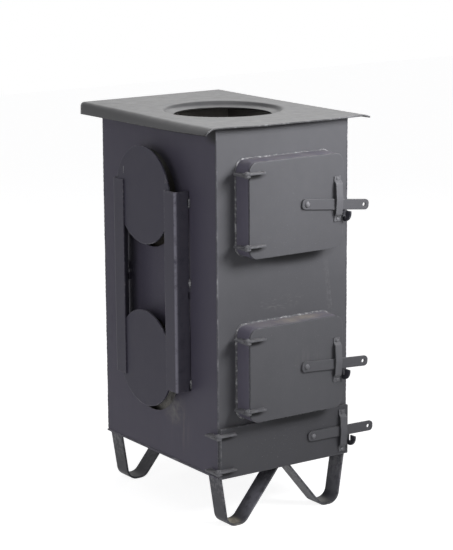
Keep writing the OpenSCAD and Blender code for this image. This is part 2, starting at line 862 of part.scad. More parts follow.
base_plate();
front_panel();
rear_panel();
left_panel();
right_panel();
top_plate();
front_left_foot();
front_right_foot();
rear_left_foot();
rear_right_foot();
upper_collar();
lower_collar();
flue_collar();
front_side_rail();
rear_side_rail();
upper_disc();
lower_disc();
side_liner();
smoke_baffle();
baffle_ledges();
fire_grate();
grate_ledges();
ash_pan();
ash_pan_pull();
upper_hinge_tabs();
lower_hinge_tabs();
ash_hinge_tabs();
upper_hinge_pins();
lower_hinge_pins();
ash_hinge_pins();
upper_catch();
lower_catch();
ash_catch();
upper_door();
lower_door();
ash_door();
upper_hinge_leaves();
lower_hinge_leaves();
ash_hinge_leaves();
upper_guide();
lower_guide();
ash_guide();
upper_guide_rivets();
lower_guide_rivets();
ash_guide_rivets();
upper_lever_rivet();
lower_lever_rivet();
ash_lever_rivet();
upper_lever();
lower_lever();
ash_lever();
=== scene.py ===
"""Dresses a sheet-steel cookstove on bent-strap feet with shaped sheets, weld beads and stove paint.

Lengths are millimetres in the body's own frame: X to the right, Y to the back, Z up from the underside of the base
plate, with the origin at the middle of the front's lower edge. They become metres in the stove's frame only when a
mesh is made.
"""

import logging
import math
from collections.abc import Sequence
from dataclasses import dataclass, field
from enum import Enum
from functools import reduce
from itertools import product
from operator import add
from typing import Any

import bmesh
import bpy
import numpy as np
from mathutils import Matrix, Vector
from mathutils.geometry import tessellate_polygon


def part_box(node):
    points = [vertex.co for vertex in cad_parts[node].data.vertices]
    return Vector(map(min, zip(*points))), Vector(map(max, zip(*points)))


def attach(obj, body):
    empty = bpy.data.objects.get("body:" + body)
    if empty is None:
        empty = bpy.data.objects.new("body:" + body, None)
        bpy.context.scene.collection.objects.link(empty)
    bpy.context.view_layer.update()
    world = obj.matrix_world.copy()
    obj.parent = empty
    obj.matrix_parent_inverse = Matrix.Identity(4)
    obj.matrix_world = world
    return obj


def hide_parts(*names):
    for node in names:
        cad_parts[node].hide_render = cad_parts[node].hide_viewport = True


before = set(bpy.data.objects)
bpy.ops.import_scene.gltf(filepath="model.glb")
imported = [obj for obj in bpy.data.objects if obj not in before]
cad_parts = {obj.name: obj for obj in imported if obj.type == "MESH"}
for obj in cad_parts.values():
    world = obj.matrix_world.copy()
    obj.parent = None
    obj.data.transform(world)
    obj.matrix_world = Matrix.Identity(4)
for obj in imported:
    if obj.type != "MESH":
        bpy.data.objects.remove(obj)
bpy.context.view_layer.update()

logging.basicConfig(level=logging.INFO, format="%(message)s")
log = logging.getLogger("cookstove")

Array = np.ndarray
Place = tuple[float, float, float]
Tone = tuple[int, int, int]  # red, green and blue of a screen, 0 to 255
Colour = tuple[float, float, float]  # linear red, green and blue
Row = tuple[float, float, float]  # inset or radius, depth and wear of a line round an edge
Rows = list[Row]

MM = 0.001
HALF_WIDTH = 150.0  # half of the body's width
DEPTH = 400.0  # depth of the body
BASE = 3.0  # thickness of the base plate
UPPER_Z, LOWER_Z = 512.5, 201.5  # heights of the fire doors' middles
FLUE_Z = 540.0  # height of the flue's middle
PANEL_CORNER = np.array([-HALF_WIDTH, 0.0, BASE])  # lower left corner of the front sheet's face
FRAME_SHIFT = np.array(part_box("front_panel")[0]) / MM - PANEL_CORNER


def to_metres(points: Array) -> Array:
    """Places of the body's frame in millimetres, moved to the stove's frame in metres.

    Args:
        points: One place, or rows of places.

    Returns:
        The same places in metres.
    """
    return (np.asarray(points, float) + FRAME_SHIFT) * MM


def linear(tone: Tone) -> Colour:
    """A screen colour as a linear one: the screen's curve undone, straight near black and a power of 2.4 above it.

    Args:
        tone: The screen colour.

    Returns:
        The linear colour.
    """
    part = np.array(tone) / 255
    return tuple(np.where(part <= 0.04045, part / 12.92, ((part + 0.055) / 1.055) ** 2.4).tolist())


class Facing(Enum):
    """The plane that an outline is drawn in, as the axes of its two sides and of its depth."""

    FRONT = (0, 2, 1)
    SIDE = (1, 2, 0)
    LEVEL = (0, 1, 2)

    def lay(self, flat: Array, depth: Array | float) -> Array:
        """Stands a flat outline up in this plane.

        Args:
            flat: Rows of two coordinates.
            depth: Place across the plane, for all rows or for each.

        Returns:
            Rows of three coordinates.
        """
        points = np.empty((len(flat), 3))
        points[:, self.value[0]] = flat[:, 0]
        points[:, self.value[1]] = flat[:, 1]
        points[:, self.value[2]] = depth
        return points


class Body(Enum):
    """The moving bodies of the stove."""

    FIXED = "body"
    UPPER_DOOR = "upper_door"
    LOWER_DOOR = "lower_door"
    ASH_DOOR = "ash_door"
    UPPER_LEVER = "upper_lever"
    LOWER_LEVER = "lower_lever"
    ASH_LEVER = "ash_lever"


class Slot(Enum):
    """The record's slots for the finishes of the pieces."""

    BODY = "body_paint"
    SIDE = "side_paint"
    TOP = "top_paint"
    BAR = "bar_paint"
    RIVET = "rivet_paint"


SIDES = (("left", -1), ("right", 1))


@dataclass
class Shell:
    """A surface as arrays: its points, groups of its faces, and how worn each point is."""

    points: Array
    faces: list[Array]
    wear: Array

    def __add__(self, other: "Shell") -> "Shell":
        """Both shells as one.

        Args:
            other: The shell whose points and faces come second.

        Returns:
            The joined shell.
        """
        start = len(self.points)
        return Shell(np.vstack([self.points, other.points]),
                     self.faces + [group + start for group in other.faces],
                     np.concatenate([self.wear, other.wear]))

    def mirrored(self) -> "Shell":
        """The shell seen in a mirror on the stove's middle plane; its faces are turned when the mesh is made."""
        return Shell(self.points * (-1, 1, 1), self.faces, self.wear)

    def turned_up(self) -> "Shell":
        """An open sheet with all of its faces turned over if most of them look down.

        Returns:
            The sheet, which looks up.
        """
        quads = self.points[self.faces[0]]
        normals = np.cross(quads[:, 2] - quads[:, 0], quads[:, 3] - quads[:, 1])
        if normals[:, 2].sum() < 0:
            return Shell(self.points, [group[:, ::-1] for group in self.faces], self.wear)
        return self


def joined(shells: Sequence[Shell]) -> Shell:
    """Several shells as one."""
    return reduce(add, shells)


def unit(vectors: Array) -> Array:
    """Vectors brought to a length of 1."""
    return vectors / np.linalg.norm(vectors, axis=-1, keepdims=True)


def arc(centre: Sequence[float], radius: float, start: float, end: float, steps: int) -> Array:
    """Points of a circular arc: the centre plus the radius times the cosine and sine of an evenly turning angle.

    Args:
        centre: Centre of the arc.
        radius: Its radius.
        start: First angle in degrees.
        end: Last angle in degrees.
        steps: Number of points.

    Returns:
        The points, both ends among them.
    """
    angles = np.radians(np.linspace(start, end, steps))
    return np.array(centre) + radius * np.column_stack([np.cos(angles), np.sin(angles)])


def circle(centre: Sequence[float], radius: float, steps: int = 64) -> Array:
    """Points of a whole circle, the first not repeated."""
    return arc(centre, radius, 0, 360, steps + 1)[:-1]


def rounded(corners: Sequence[Sequence[float]], radii: float | Sequence[float], steps: int = 7,
            closed: bool = True) -> Array:
    """A line through corners, each rounded by an arc that touches both of its sides.

    The arc's centre lies on the line that halves the corner, at radius / sin(half of the corner's angle) from it.

    Args:
        corners: The corners in order.
        radii: One radius, or one for each corner; 0 leaves it sharp.
        steps: Points on each arc.
        closed: Whether the last corner joins the first.

    Returns:
        Points of the line.
    """
    points = np.asarray(corners, float)
    count = len(points)
    pieces = []
    for i, (corner, radius) in enumerate(zip(points, np.broadcast_to(radii, count))):
        if radius == 0 or (not closed and i in (0, count - 1)):
            pieces.append(corner[None])
            continue
        back, onward = unit(points[i - 1] - corner), unit(points[(i + 1) % count] - corner)
        half = math.acos(float(np.clip(back @ onward, -1, 1))) / 2
        centre = corner + unit(back + onward) * radius / math.sin(half)
        first, last = (corner + side * radius / math.tan(half) - centre for side in (back, onward))
        start = math.degrees(math.atan2(first[1], first[0]))
        turn = (math.degrees(math.atan2(last[1], last[0])) - start + 180) % 360 - 180
        pieces.append(arc(centre, radius, start, start + turn, steps))
    return np.vstack(pieces)


def round_box(centre: Sequence[float], width: float, height: float, radius: float, steps: int = 9) -> Array:
    """A rectangle with round corners, anticlockwise."""
    x, y = width / 2, height / 2
    return np.array(centre) + rounded([(-x, -y), (x, -y), (x, y), (-x, y)], radius, steps)


def rectangle(low: Sequence[float], high: Sequence[float], radius: float = 0.0, steps: int = 3) -> Array:
    """A rectangle from one corner to the opposite one, with round corners."""
    (x0, y0), (x1, y1) = low, high
    return rounded([(x0, y0), (x1, y0), (x1, y1), (x0, y1)], radius, steps)


def leaning(line: Array, closed: bool) -> Array:
    """For each point of a line, the vector to its left by which a copy at distance 1 is reached.

    It halves the corner between the two neighbouring sides' left normals, and is stretched by one over the cosine of
    half the turn, so that the copy's sides stay at distance 1.

    Args:
        line: Points of the line.
        closed: Whether the last point joins the first.

    Returns:
        One vector for each point.
    """
    onward = unit(np.roll(line, -1, 0) - line)
    back = np.roll(onward, 1, 0)
    if not closed:
        onward[-1] = back[-1]
        back[0] = onward[0]
    left = np.column_stack([-onward[:, 1], onward[:, 0]]) + np.column_stack([-back[:, 1], back[:, 0]])
    return 2 * left / np.sum(left ** 2, axis=1, keepdims=True)


def anticlockwise(loop: Array) -> Array:
    """A closed loop in the order in which its area is positive."""
    x, y = loop[:, 0], loop[:, 1]
    return loop if np.sum(x * np.roll(y, -1) - y * np.roll(x, -1)) > 0 else loop[::-1]


def banded(loop: Array, band: float) -> Array:
    """A closed loop with a point put in near both ends of each side that is longer than three bands.

    Wear is kept beside the corners in this way.

    Args:
        loop: The loop's points.
        band: Distance of the new points from the corners.

    Returns:
        The loop with the new points.
    """
    onward = np.roll(loop, -1, 0)
    length = np.linalg.norm(onward - loop, axis=1)
    long = length > 3 * band
    share = np.where(long, band / length, 0)[:, None]
    rows = np.stack([loop, loop + (onward - loop) * share, onward + (loop - onward) * share], axis=1)
    return rows[np.column_stack([np.ones(len(loop), bool), long, long])]


def arris_wear(loop: Array, tight: float = 4.0) -> Array:
    """Wear of a closed loop's points: 1 where it bends tighter than a radius, 0 elsewhere.

    The radius of the bend at a point is the length of the shorter side there over the turn in radians.

    Args:
        loop: The loop's points.
        tight: Radius of the widest bend that is worn.

    Returns:
        The wear of each point.
    """
    onward = np.roll(loop, -1, 0) - loop
    back = np.roll(onward, 1, 0)
    turn = np.abs(np.arctan2(back[:, 0] * onward[:, 1] - back[:, 1] * onward[:, 0], np.sum(back * onward, axis=1)))
    nearest = np.minimum(np.linalg.norm(onward, axis=1), np.linalg.norm(back, axis=1))
    return (turn > nearest / tight).astype(float)


def grid_faces(rows: int, columns: int, round_columns: bool = True, round_rows: bool = False) -> Array:
    """Four-cornered faces between the points of a grid, row after row.

    Args:
        rows: Number of rows.
        columns: Points in each row.
        round_columns: Whether each row closes on itself.
        round_rows: Whether the last row joins the first.

    Returns:
        One row of four point numbers for each face.
    """
    row = np.arange(rows if round_rows else rows - 1)[:, None]
    column = np.arange(columns if round_columns else columns - 1)[None, :]
    here, right = row * columns + column, row * columns + (column + 1) % columns
    above = (row + 1) % rows * columns
    return np.stack([here, right, above + (column + 1) % columns, above + column], axis=-1).reshape(-1, 4)


ARRIS_MIDDLE = 0.3  # inset of a rounded arris's middle from both faces, as a share of its radius
PLATE_SHOULDER = 0.75  # wear where a plate's arris meets its faces
BAR_SHOULDER = 0.7  # the same on a bar


def sheet_rows(thickness: float, arris: float = 0.5, band: float = 1.4) -> Rows:
    """Rows over a plate's edge from its front face to its back, as inset, depth and wear.

    Args:
        thickness: Thickness of the plate.
        arris: Radius of its two worn arrises.
        band: Width of the worn strip on each face.

    Returns:
        The rows, of which the first and the last carry the two faces.
    """
    near = [(arris + band, 0.0, 0.0), (arris, 0.0, PLATE_SHOULDER),
            (ARRIS_MIDDLE * arris, ARRIS_MIDDLE * arris, 1.0), (0.0, arris, PLATE_SHOULDER)]
    return near + [(inset, thickness - depth, wear) for inset, depth, wear in near[::-1]]


def plate(outline: Array, facing: Facing, front: float, rows: Rows, holes: Sequence[Array] = (),
          band: float = 1.2) -> Shell:
    """A flat plate with holes: every loop is carried through the rows, and both faces are filled between the loops.

    A row's loop is the outline moved inwards (and a hole moved outwards) by the row's inset, at the row's depth.

    Args:
        outline: Outer loop.
        facing: The plane in which the loops are drawn.
        front: Place of the front face across that plane.
        rows: Rows of inset, depth and wear, as sheet_rows gives.
        holes: Loops of the holes.
        band: Width of the worn strip beside tight corners of the outline.

    Returns:
        The closed shell.
    """
    loops = [banded(anticlockwise(outline), band)] + [anticlockwise(hole)[::-1] for hole in holes]
    points, faces, wear, ends = [], [], [], ([], [])
    start = 0
    for loop in loops:
        lean = leaning(loop, True)
        tight = arris_wear(loop)
        for inset, depth, worn in rows:
            points.append(facing.lay(loop + inset * lean, front + depth))
            wear.append(np.maximum(worn, tight))
        faces.append(start + grid_faces(len(rows), len(loop)))
        ends[0].append(start + np.arange(len(loop)))
        start += len(rows) * len(loop)
        ends[1].append(start - len(loop) + np.arange(len(loop)))
    for end, inset in zip(ends, (rows[0][0], rows[-1][0])):
        flat = [[Vector((x, y, 0)) for x, y in loop + inset * leaning(loop, True)] for loop in loops]
        faces.append(np.concatenate(end)[np.array(tessellate_polygon(flat))])
    return Shell(np.vstack(points), faces, np.concatenate(wear))


def bar_section(thickness: float, width: float, arris: float = 0.6, band: float = 1.2) -> Array:
    """Section of a flat bar with rounded, worn arrises.

    Args:
        thickness: Thickness across the bar.
        width: Width of the bar.
        arris: Radius of the arrises.
        band: Width of the worn strip on the two faces.

    Returns:
        Rows of place across (from the middle), place along the width (from its start) and wear.
    """
    half = thickness / 2
    quarter = np.array([(half, arris + band, 0), (half, arris, BAR_SHOULDER),
                        (half - ARRIS_MIDDLE * arris, ARRIS_MIDDLE * arris, 1), (half - arris, 0, BAR_SHOULDER)])
    low = np.vstack([quarter, quarter[::-1] * (-1, 1, 1)])
    high = low[::-1] * (1, -1, 1) + (0, width, 0)
    return np.vstack([low, high])


def tube_faces(count: int, around: int, closed: bool) -> list[Array]:
    """Faces of a tube of rings, with a cap on each end unless it closes on itself.

    Args:
        count: Number of rings.
        around: Points in each ring.
        closed: Whether the last ring joins the first.

    Returns:
        Groups of faces.
    """
    sides, cap = grid_faces(count, around, True, closed), np.arange(around)[None]
    return [sides] if closed else [sides, cap, cap + (count - 1) * around]


def strap(path: Array, section: Array, facing: Facing, start: float, closed: bool = False) -> Shell:
    """A bar bent along a flat path: its section's first coordinate leans out from the path, its second is depth.

    Args:
        path: Points of the bar's middle line.
        section: Section as bar_section gives.
        facing: The plane in which the path is drawn.
        start: Place of the bar's first edge across that plane.
        closed: Whether the path closes on itself.

    Returns:
        The closed shell.
    """
    lean = leaning(path, closed)
    flat = path[:, None, :] + section[None, :, :1] * lean[:, None, :]
    depth = np.broadcast_to(start + section[:, 1], flat.shape[:2])
    wear = np.tile(section[:, 2], (len(path), 1))
    if not closed:
        wear[[0, -1]] = 1
    return Shell(facing.lay(flat.reshape(-1, 2), depth.reshape(-1)), tube_faces(len(path), len(section), closed),
                 wear.reshape(-1))


def lathe(profile: Sequence[Sequence[float]], centre: Sequence[float], facing: Facing, hollow: bool = False,
          steps: int = 32) -> Shell:
    """A turned piece: each profile point runs round the axis on a circle of its own radius.

    Args:
        profile: Rows of radius, place along the axis and wear.
        centre: Centre of the circles in the facing's plane.
        facing: The plane of the circles.
        hollow: Whether the profile closes on itself, as a ring's does.
        steps: Points on each circle.

    Returns:
        The closed shell; a pole's points are merged when the mesh is made.
    """
    rows = np.asarray(profile, float)
    angles = np.linspace(0, 2 * math.pi, steps, endpoint=False)
    turn = np.column_stack([np.cos(angles), np.sin(angles)])
    flat = np.array(centre) + rows[:, None, :1] * turn[None]
    depth = np.repeat(rows[:, 1], steps)
    return Shell(facing.lay(flat.reshape(-1, 2), depth), [grid_faces(len(rows), steps, True, hollow)],
                 np.repeat(rows[:, 2], steps))


def spaced(path: Array, step: float) -> tuple[Array, Array]:
    """A path's points put at even distances.

    Args:
        path: Points of the path.
        step: Distance wanted between the new points.

    Returns:
        The new points and their distances from the start.
    """
    run = np.concatenate([[0], np.cumsum(np.linalg.norm(np.diff(path, axis=0), axis=1))])
    at = np.linspace(0, run[-1], max(4, round(run[-1] / step) + 1))
    return np.column_stack([np.interp(at, run, path[:, axis]) for axis in range(3)]), at


@dataclass(frozen=True)
class Bead:
    """Size of a weld bead.

    Attributes:
        radius: Radius of the bead.
        drop: Length of one drop of its metal.
    """

    radius: float
    drop: float


def weld_bead(path: Array, bead: Bead, outward: Place, seed: int, closed: bool = False, around: int = 8) -> Shell:
    """A weld bead: a tube along the path whose radius ripples with every drop of metal.

    The radius is radius * (0.74 + 0.26 |sin(pi s / drop)| ** 0.6) * (1 + 0.2 n), with s the way along the bead and n
    smooth random values between -1 and 1, drawn anew every 1.4 drops. The middle line strays by another such value
    times a fifth of the radius, and open ends run out to a rounded point over 1.2 radii.

    Args:
        path: Points of the joint that the bead covers.
        bead: Size of the bead.
        outward: Direction that looks away from the sheet.
        seed: Seed of the random values.
        closed: Whether the path closes on itself.
        around: Points round the tube.

    Returns:
        The closed shell.
    """
    chance = np.random.default_rng(seed)
    radius, drop = bead.radius, bead.drop
    line, at = spaced(np.vstack([path, path[:1]]) if closed else path, drop / 4)
    knots = np.linspace(0, at[-1], max(3, round(at[-1] / (1.4 * drop))))
    swell, stray = (np.interp(at, knots, chance.uniform(-1, 1, len(knots))) for _ in range(2))
    size = radius * (0.74 + 0.26 * np.abs(np.sin(math.pi * at / drop)) ** 0.6) * (1 + 0.2 * swell)
    if closed:
        line, stray, size = line[:-1], stray[:-1], size[:-1]
        onward = unit(np.roll(line, -1, 0) - np.roll(line, 1, 0))
    else:
        onward = unit(np.gradient(line, axis=0))
        size = size * np.sqrt(np.clip(np.minimum(at, at[-1] - at) / (1.2 * radius), 0.004, 1))
    up = np.array(outward, float)
    aside = unit(np.cross(onward, up))
    line = line + aside * (0.2 * radius * stray)[:, None]
    angles = np.linspace(0, 2 * math.pi, around, endpoint=False)
    ring = np.cos(angles)[None, :, None] * aside[:, None, :] + np.sin(angles)[None, :, None] * up
    points = line[:, None, :] + size[:, None, None] * ring
    return Shell(points.reshape(-1, 3), tube_faces(len(line), around, closed),
                 np.tile(np.clip(np.sin(angles), 0, 1), len(line)))


class Signal:
    """A shader socket that takes part in Python expressions; each operator adds one Math node."""

    def __init__(self, graph: "Graph", socket: bpy.types.NodeSocket) -> None:
        """Keeps the socket and the graph that it belongs to."""
        self.graph = graph
        self.socket = socket

    def _math(self, operation: str, *values: "Signal | float") -> "Signal":
        """One Math node on the given values."""
        return self.graph.make("Math", {"operation": operation}, dict(enumerate(values)))

    def __add__(self, other: "Signal | float") -> "Signal":
        """This value plus another."""
        return self._math("ADD", self, other)

    def __sub__(self, other: "Signal | float") -> "Signal":
        """This value minus another."""
        return self._math("SUBTRACT", self, other)

    def __rsub__(self, other: "Signal | float") -> "Signal":
        """Another value minus this."""
        return self._math("SUBTRACT", other, self)

    def __mul__(self, other: "Signal | float") -> "Signal":
        """This value times another."""
        return self._math("MULTIPLY", self, other)

    def __or__(self, other: "Signal | float") -> "Signal":
        """The larger of two values, as where either of two masks holds."""
        return self._math("MAXIMUM", self, other)

    __radd__ = __add__
    __rmul__ = __mul__
    __ror__ = __or__

    def between(self, low: float, high: float) -> "Signal":
        """A smooth step of this value from 0 at low to 1 at high; low may be the larger."""
        return self.graph.make("MapRange", {"interpolation_type": "SMOOTHSTEP"},
                               {0: self, 1: low, 2: high, 3: 0.0, 4: 1.0})


class Graph:
    """The nodes of one material or of the world."""

    def __init__(self, tree: bpy.types.NodeTree) -> None:
        """Starts with an empty tree."""
        self.tree = tree
        tree.nodes.clear()

    def make(self, kind: str, settings: dict[str, Any] | None = None,
             sockets: dict[str | int, Any] | None = None, out: str | int = 0) -> Signal:
        """Makes one node.

        Args:
            kind: The node's type without its ShaderNode prefix.
            settings: Its settings, which are set first.
            sockets: Values or signals for its input sockets.
            out: The output to give back.

        Returns:
            The chosen output.
        """
        node = self.tree.nodes.new("ShaderNode" + kind)
        for key, value in (settings or {}).items():
            setattr(node, key, value)
        for key, value in (sockets or {}).items():
            if isinstance(value, Signal):
                self.tree.links.new(value.socket, node.inputs[key])
            else:
                node.inputs[key].default_value = value
        return Signal(self, node.outputs[out] if len(node.outputs) else None)

    def place(self) -> Signal:
        """Place on the piece, in metres of the stove's frame."""
        return self.make("TexCoord", out="Object")

    def looks(self) -> Signal:
        """Direction in which the surface looks, in the piece's own frame."""
        return self.make("TexCoord", out="Normal")

    def vector(self, operation: str, *values: Signal | Place, out: str = "Vector") -> Signal:
        """One Vector Math node on the given values."""
        return self.make("VectorMath", {"operation": operation}, dict(enumerate(values)), out)

    def away_from(self, centre: Place) -> Signal:
        """Vector to the place on the piece from a place in millimetres of the body's frame."""
        return self.vector("SUBTRACT", self.place(), tuple(to_metres(centre)))

    def noise(self, scale: float, detail: float = 3.0, stretch: Place = (1, 1, 1), offset: float = 0.0,
              roughness: float = 0.5) -> Signal:
        """Cloud noise from 0 to 1 on the piece.

        Args:
            scale: Number of clouds to a metre.
            detail: Number of finer layers.
            stretch: Scale along X, Y and Z; a small one draws the clouds out.
            offset: Shift that gives another pattern.
            roughness: Strength of the finer layers.

        Returns:
            The noise.
        """
        at = self.make("Mapping", sockets={"Vector": self.place(), "Location": (offset,) * 3, "Scale": stretch})
        return self.make("TexNoise", sockets={"Vector": at, "Scale": scale, "Detail": detail, "Roughness": roughness})

    def mixed(self, factor: Signal | float, first: Signal | Colour, second: Signal | Colour,
              blend: str = "MIX") -> Signal:
        """A colour between two colours.

        Args:
            factor: Share of the second colour.
            first: First colour.
            second: Second colour.
            blend: How the second is laid on the first.

        Returns:
            The mixed colour.
        """
        colours = [value if isinstance(value, Signal) else (*value, 1) for value in (first, second)]
        return self.make("Mix", {"data_type": "RGBA", "blend_type": blend},
                         {0: factor, 6: colours[0], 7: colours[1]}, out=2)

    def shaded(self, colour: Signal | Colour, grey: Signal) -> Signal:
        """A colour times a grey value."""
        return self.mixed(1.0, colour, self.make("CombineXYZ", sockets={0: grey, 1: grey, 2: grey}), "MULTIPLY")

    def split(self, vector: Signal, axis: int) -> Signal:
        """One coordinate of a vector."""
        return self.make("SeparateXYZ", sockets={0: vector}, out=axis)

    def spot(self, centre: Place, reach: Place) -> Signal:
        """A soft spot: 1 near its centre, falling to 0 at its reach along each axis.

        The place minus the centre is divided by the reach, and the length of the result is stepped down from 1 to 0.

        Args:
            centre: Centre in millimetres of the body's frame.
            reach: Reach along X, Y and Z in millimetres.

        Returns:
            The spot's mask.
        """
        share = self.vector("DIVIDE", self.away_from(centre), tuple(float(size) * MM for size in reach))
        return self.vector("LENGTH", share, out="Value").between(1.0, 0.25)

    def steel(self, colour: Signal, roughness: Signal, metallic: Signal, gloss: float, relief: Signal) -> None:
        """Ends the nodes of a finish with its shader.

        Args:
            colour: Base colour.
            roughness: Roughness.
            metallic: How much it shines as metal.
            gloss: The shader's specular level.
            relief: Height of the surface in millimetres.
        """
        bumps = self.make("Bump", sockets={"Strength": 1.0, "Distance": MM, "Height": relief})
        shader = self.make("BsdfPrincipled", sockets={
            "Base Color": colour, "Roughness": roughness, "Metallic": metallic, "Specular IOR Level": gloss,
            "Normal": bumps})
        self.make("OutputMaterial", sockets={"Surface": shader})


def new_material(name: str) -> tuple[bpy.types.Material, Graph]:
    """A new material and its nodes.

    Args:
        name: Name of the material.

    Returns:
        The material, and the empty graph of its nodes.
    """
    material = bpy.data.materials.new(name)
    material.use_nodes = True
    return material, Graph(material.node_tree)


class Pattern(Enum):
    """The noises in the paint: clouds to a metre, finer layers, stretch, offset, and strength of the finer layers."""

    DRIFT = (7.0, 2.0)
    MOTTLE = (55.0, 4.0, (1, 1, 1), 0.7)
    STREAKS = (26.0, 3.0, (1, 1, 0.05), 0.21)
    DUST = (33.0, 5.0, (1, 1, 1), 1.3)
    CHIPS = (120.0, 4.0, (1, 1, 1), 2.1, 0.7)
    FINE_GRAIN = (1100.0, 2.0)
    COARSE_GRAIN = (240.0, 3.0, (1, 1, 1), 0.9)
    WAVES = (5.0, 1.0, (1, 1, 1), 3.0)

    def on(self, graph: Graph) -> Signal:
        """The noise in a graph."""
        return graph.noise(*self.value)


class MarkKind(Enum):
    """How a local mark breaks up: scale of its pattern, its stretch, and where the pattern starts and is full."""

    SCUFF = (90.0, (1.0, 1.0, 3.0), 0.50, 0.66)
    # dust, and also painted pools of light on the left side and on the liner
    DUST = (26.0, (1.0, 1.0, 1.0), 0.30, 0.75)
    SPECKS = (420.0, (1.0, 1.0, 1.0), 0.64, 0.70)
    # worn paint, and also painted light and a painted highlight on the front feet and the front rail
    WEAR_AND_PAINTED_LIGHT = (60.0, (1.0, 1.0, 1.0), 0.25, 0.55)
    RUN = (70.0, (1.0, 1.0, 0.12), 0.42, 0.75)
    # a nearly solid dark patch: painted shade and painted shadows
    PAINTED_SHADE = (40.0, (1.0, 1.0, 1.0), 0.05, 0.40)


@dataclass(frozen=True)
class Mark:
    """One scuff, dusty patch or worn place on a finish, or a patch of painted light or shade.

    Attributes:
        kind: How it breaks up.
        centre: Its centre in the body's frame.
        reach: Its reach along X, Y and Z.
        colour: Its colour.
        strength: Its share where it is strongest.
    """

    kind: MarkKind
    centre: Place
    reach: Place
    colour: Tone
    strength: float

    def laid(self, graph: Graph, under: Signal) -> Signal:
        """Lays the mark over a colour.

        Args:
            graph: The finish's nodes.
            under: The colour below.

        Returns:
            The colour with the mark.
        """
        scale, stretch, low, high = self.kind.value
        pattern = graph.noise(scale, detail=5.0, stretch=stretch, offset=0.37, roughness=0.65).between(low, high)
        share = graph.spot(self.centre, self.reach) * pattern * self.strength
        return graph.mixed(share, under, linear(self.colour))


BODY_MIDDLE = (0.0, 200.0, 333.0)
LOOKS_IN = (0.004, -0.02)  # metres from the body's middle along a face's normal, for none of the inner faces' colour and for all of it
LOOKS_UP = (0.55, 0.95)  # upward part of the normal, for no dust and for all of it
DUST_PATCHES = (0.25, 0.8)  # values of its noise between which dust thickens
CHIPPED = (0.46, 0.66)  # values of its noise between which worn paint breaks off
DUST_TONE = (168, 165, 160)
RUBBED_SHINE = 0.45  # how much fully rubbed paint shines as metal
DRIFT_IN_CHIPS = 0.5  # share of the tone's drift in the chips' noise
COARSE_SHARE = 0.7  # height of the coarse grain as a share of the fine one's
INNER_FACE_COVER = 0.93  # share of the paint that the inner faces' colour hides where it is full
ROUGHER = {"mottle": 0.16, "dust": 0.4, "rubbed": -0.12, "inner_face": 0.35}  # what each adds to the roughness


@dataclass(frozen=True)
class StovePaint:
    """Matt heat-proof paint on sheet steel, with drifting tone, fine grain, rubbed arrises and dust, and in places
    painted light and shade.

    Attributes:
        name: Name of the material.
        colour: Colour of clean paint.
        roughness: Roughness of clean paint.
        drift: How much the tone drifts over a hand's width.
        mottle: How much it drifts over a finger's width.
        streaks: Strength of upright streaks.
        rubbed: How far the arrises are rubbed to bare metal.
        bare: Colour of rubbed arrises.
        dust: Dust on faces that look up.
        waviness: Height in millimetres of the sheet's slow waves.
        grain: Height in millimetres of the paint's grain.
        inner_face: Colour of faces that look into the stove, or None for a sheet without such faces; sooty dark with
            painted shade on the top, pale as painted light on the front and side sheets.
        marks: Local marks, among them painted light and shade.
        gloss: The shader's specular level.
    """

    name: str
    colour: Tone
    roughness: float = 0.52
    drift: float = 0.10
    mottle: float = 0.06
    streaks: float = 0.04
    rubbed: float = 0.5
    bare: Tone = (140, 140, 144)
    dust: float = 0.12
    waviness: float = 0.5
    grain: float = 0.035
    inner_face: Tone | None = None
    marks: tuple[Mark, ...] = ()
    gloss: float = 0.22

    def material(self) -> bpy.types.Material:
        """Builds the material: tone, then marks, dust, rubbed arrises and the inner faces' colour, each laid over the
        last.

        The tone is 1 plus each noise's way from its middle times its strength. The inner faces' colour, painted shade
        on the top and painted light on the front and side sheets, lies where the line from the body's middle meets a
        face from the side that it looks to.

        Returns:
            The material.
        """
        material, graph = new_material(self.name)
        drift, mottle, streaks = (pattern.on(graph) for pattern in (Pattern.DRIFT, Pattern.MOTTLE, Pattern.STREAKS))
        tone = (1.0 + (drift - 0.5) * (2 * self.drift) + (mottle - 0.5) * (2 * self.mottle)
                + (streaks - 0.5) * (2 * self.streaks))
        colour = graph.shaded(linear(self.colour), tone)
        for mark in self.marks:
            colour = mark.laid(graph, colour)
        upward = graph.split(graph.looks(), 2).between(*LOOKS_UP)
        dust = upward * Pattern.DUST.on(graph).between(*DUST_PATCHES) * self.dust
        colour = graph.mixed(dust, colour, linear(DUST_TONE))
        wear = graph.make("Attribute", {"attribute_name": "wear"}, out="Fac")
        rubbed = wear * (Pattern.CHIPS.on(graph) + (drift - 0.5) * DRIFT_IN_CHIPS).between(*CHIPPED) * self.rubbed
        colour = graph.mixed(rubbed, colour, linear(self.bare))
        roughness = (self.roughness + (mottle - 0.5) * ROUGHER["mottle"] + dust * ROUGHER["dust"]
                     + rubbed * ROUGHER["rubbed"])
        # Faces that look into the stove take the inner faces' colour: sooty dark and painted shade on the top, painted
        # light on the front and side sheets.
        if self.inner_face is not None:
            inside = graph.vector("DOT_PRODUCT", graph.away_from(BODY_MIDDLE), graph.looks(), out="Value")
            inner_face = inside.between(*LOOKS_IN)
            colour = graph.mixed(inner_face * INNER_FACE_COVER, colour, linear(self.inner_face))
            roughness = roughness + inner_face * ROUGHER["inner_face"]
        coarse = Pattern.COARSE_GRAIN.on(graph) * (COARSE_SHARE * self.grain)
        relief = Pattern.FINE_GRAIN.on(graph) * self.grain + coarse + Pattern.WAVES.on(graph) * self.waviness
        graph.steel(colour, roughness, rubbed * RUBBED_SHINE, self.gloss, relief)
        return material


STAIN_START = (0.72, 0.42)  # noise value where bare metal is half stained, and how far a full share lowers it
STAIN_EDGE = (-0.1, 0.12)  # soft edge of a stain on both sides of that value
STAIN_ROUGHER = 0.2
METAL_GLOSS = 0.4  # the shader's specular level
METAL_GREYS = (0.86, 0.28)  # darkest grey of the fine lumps, and how much brighter they get


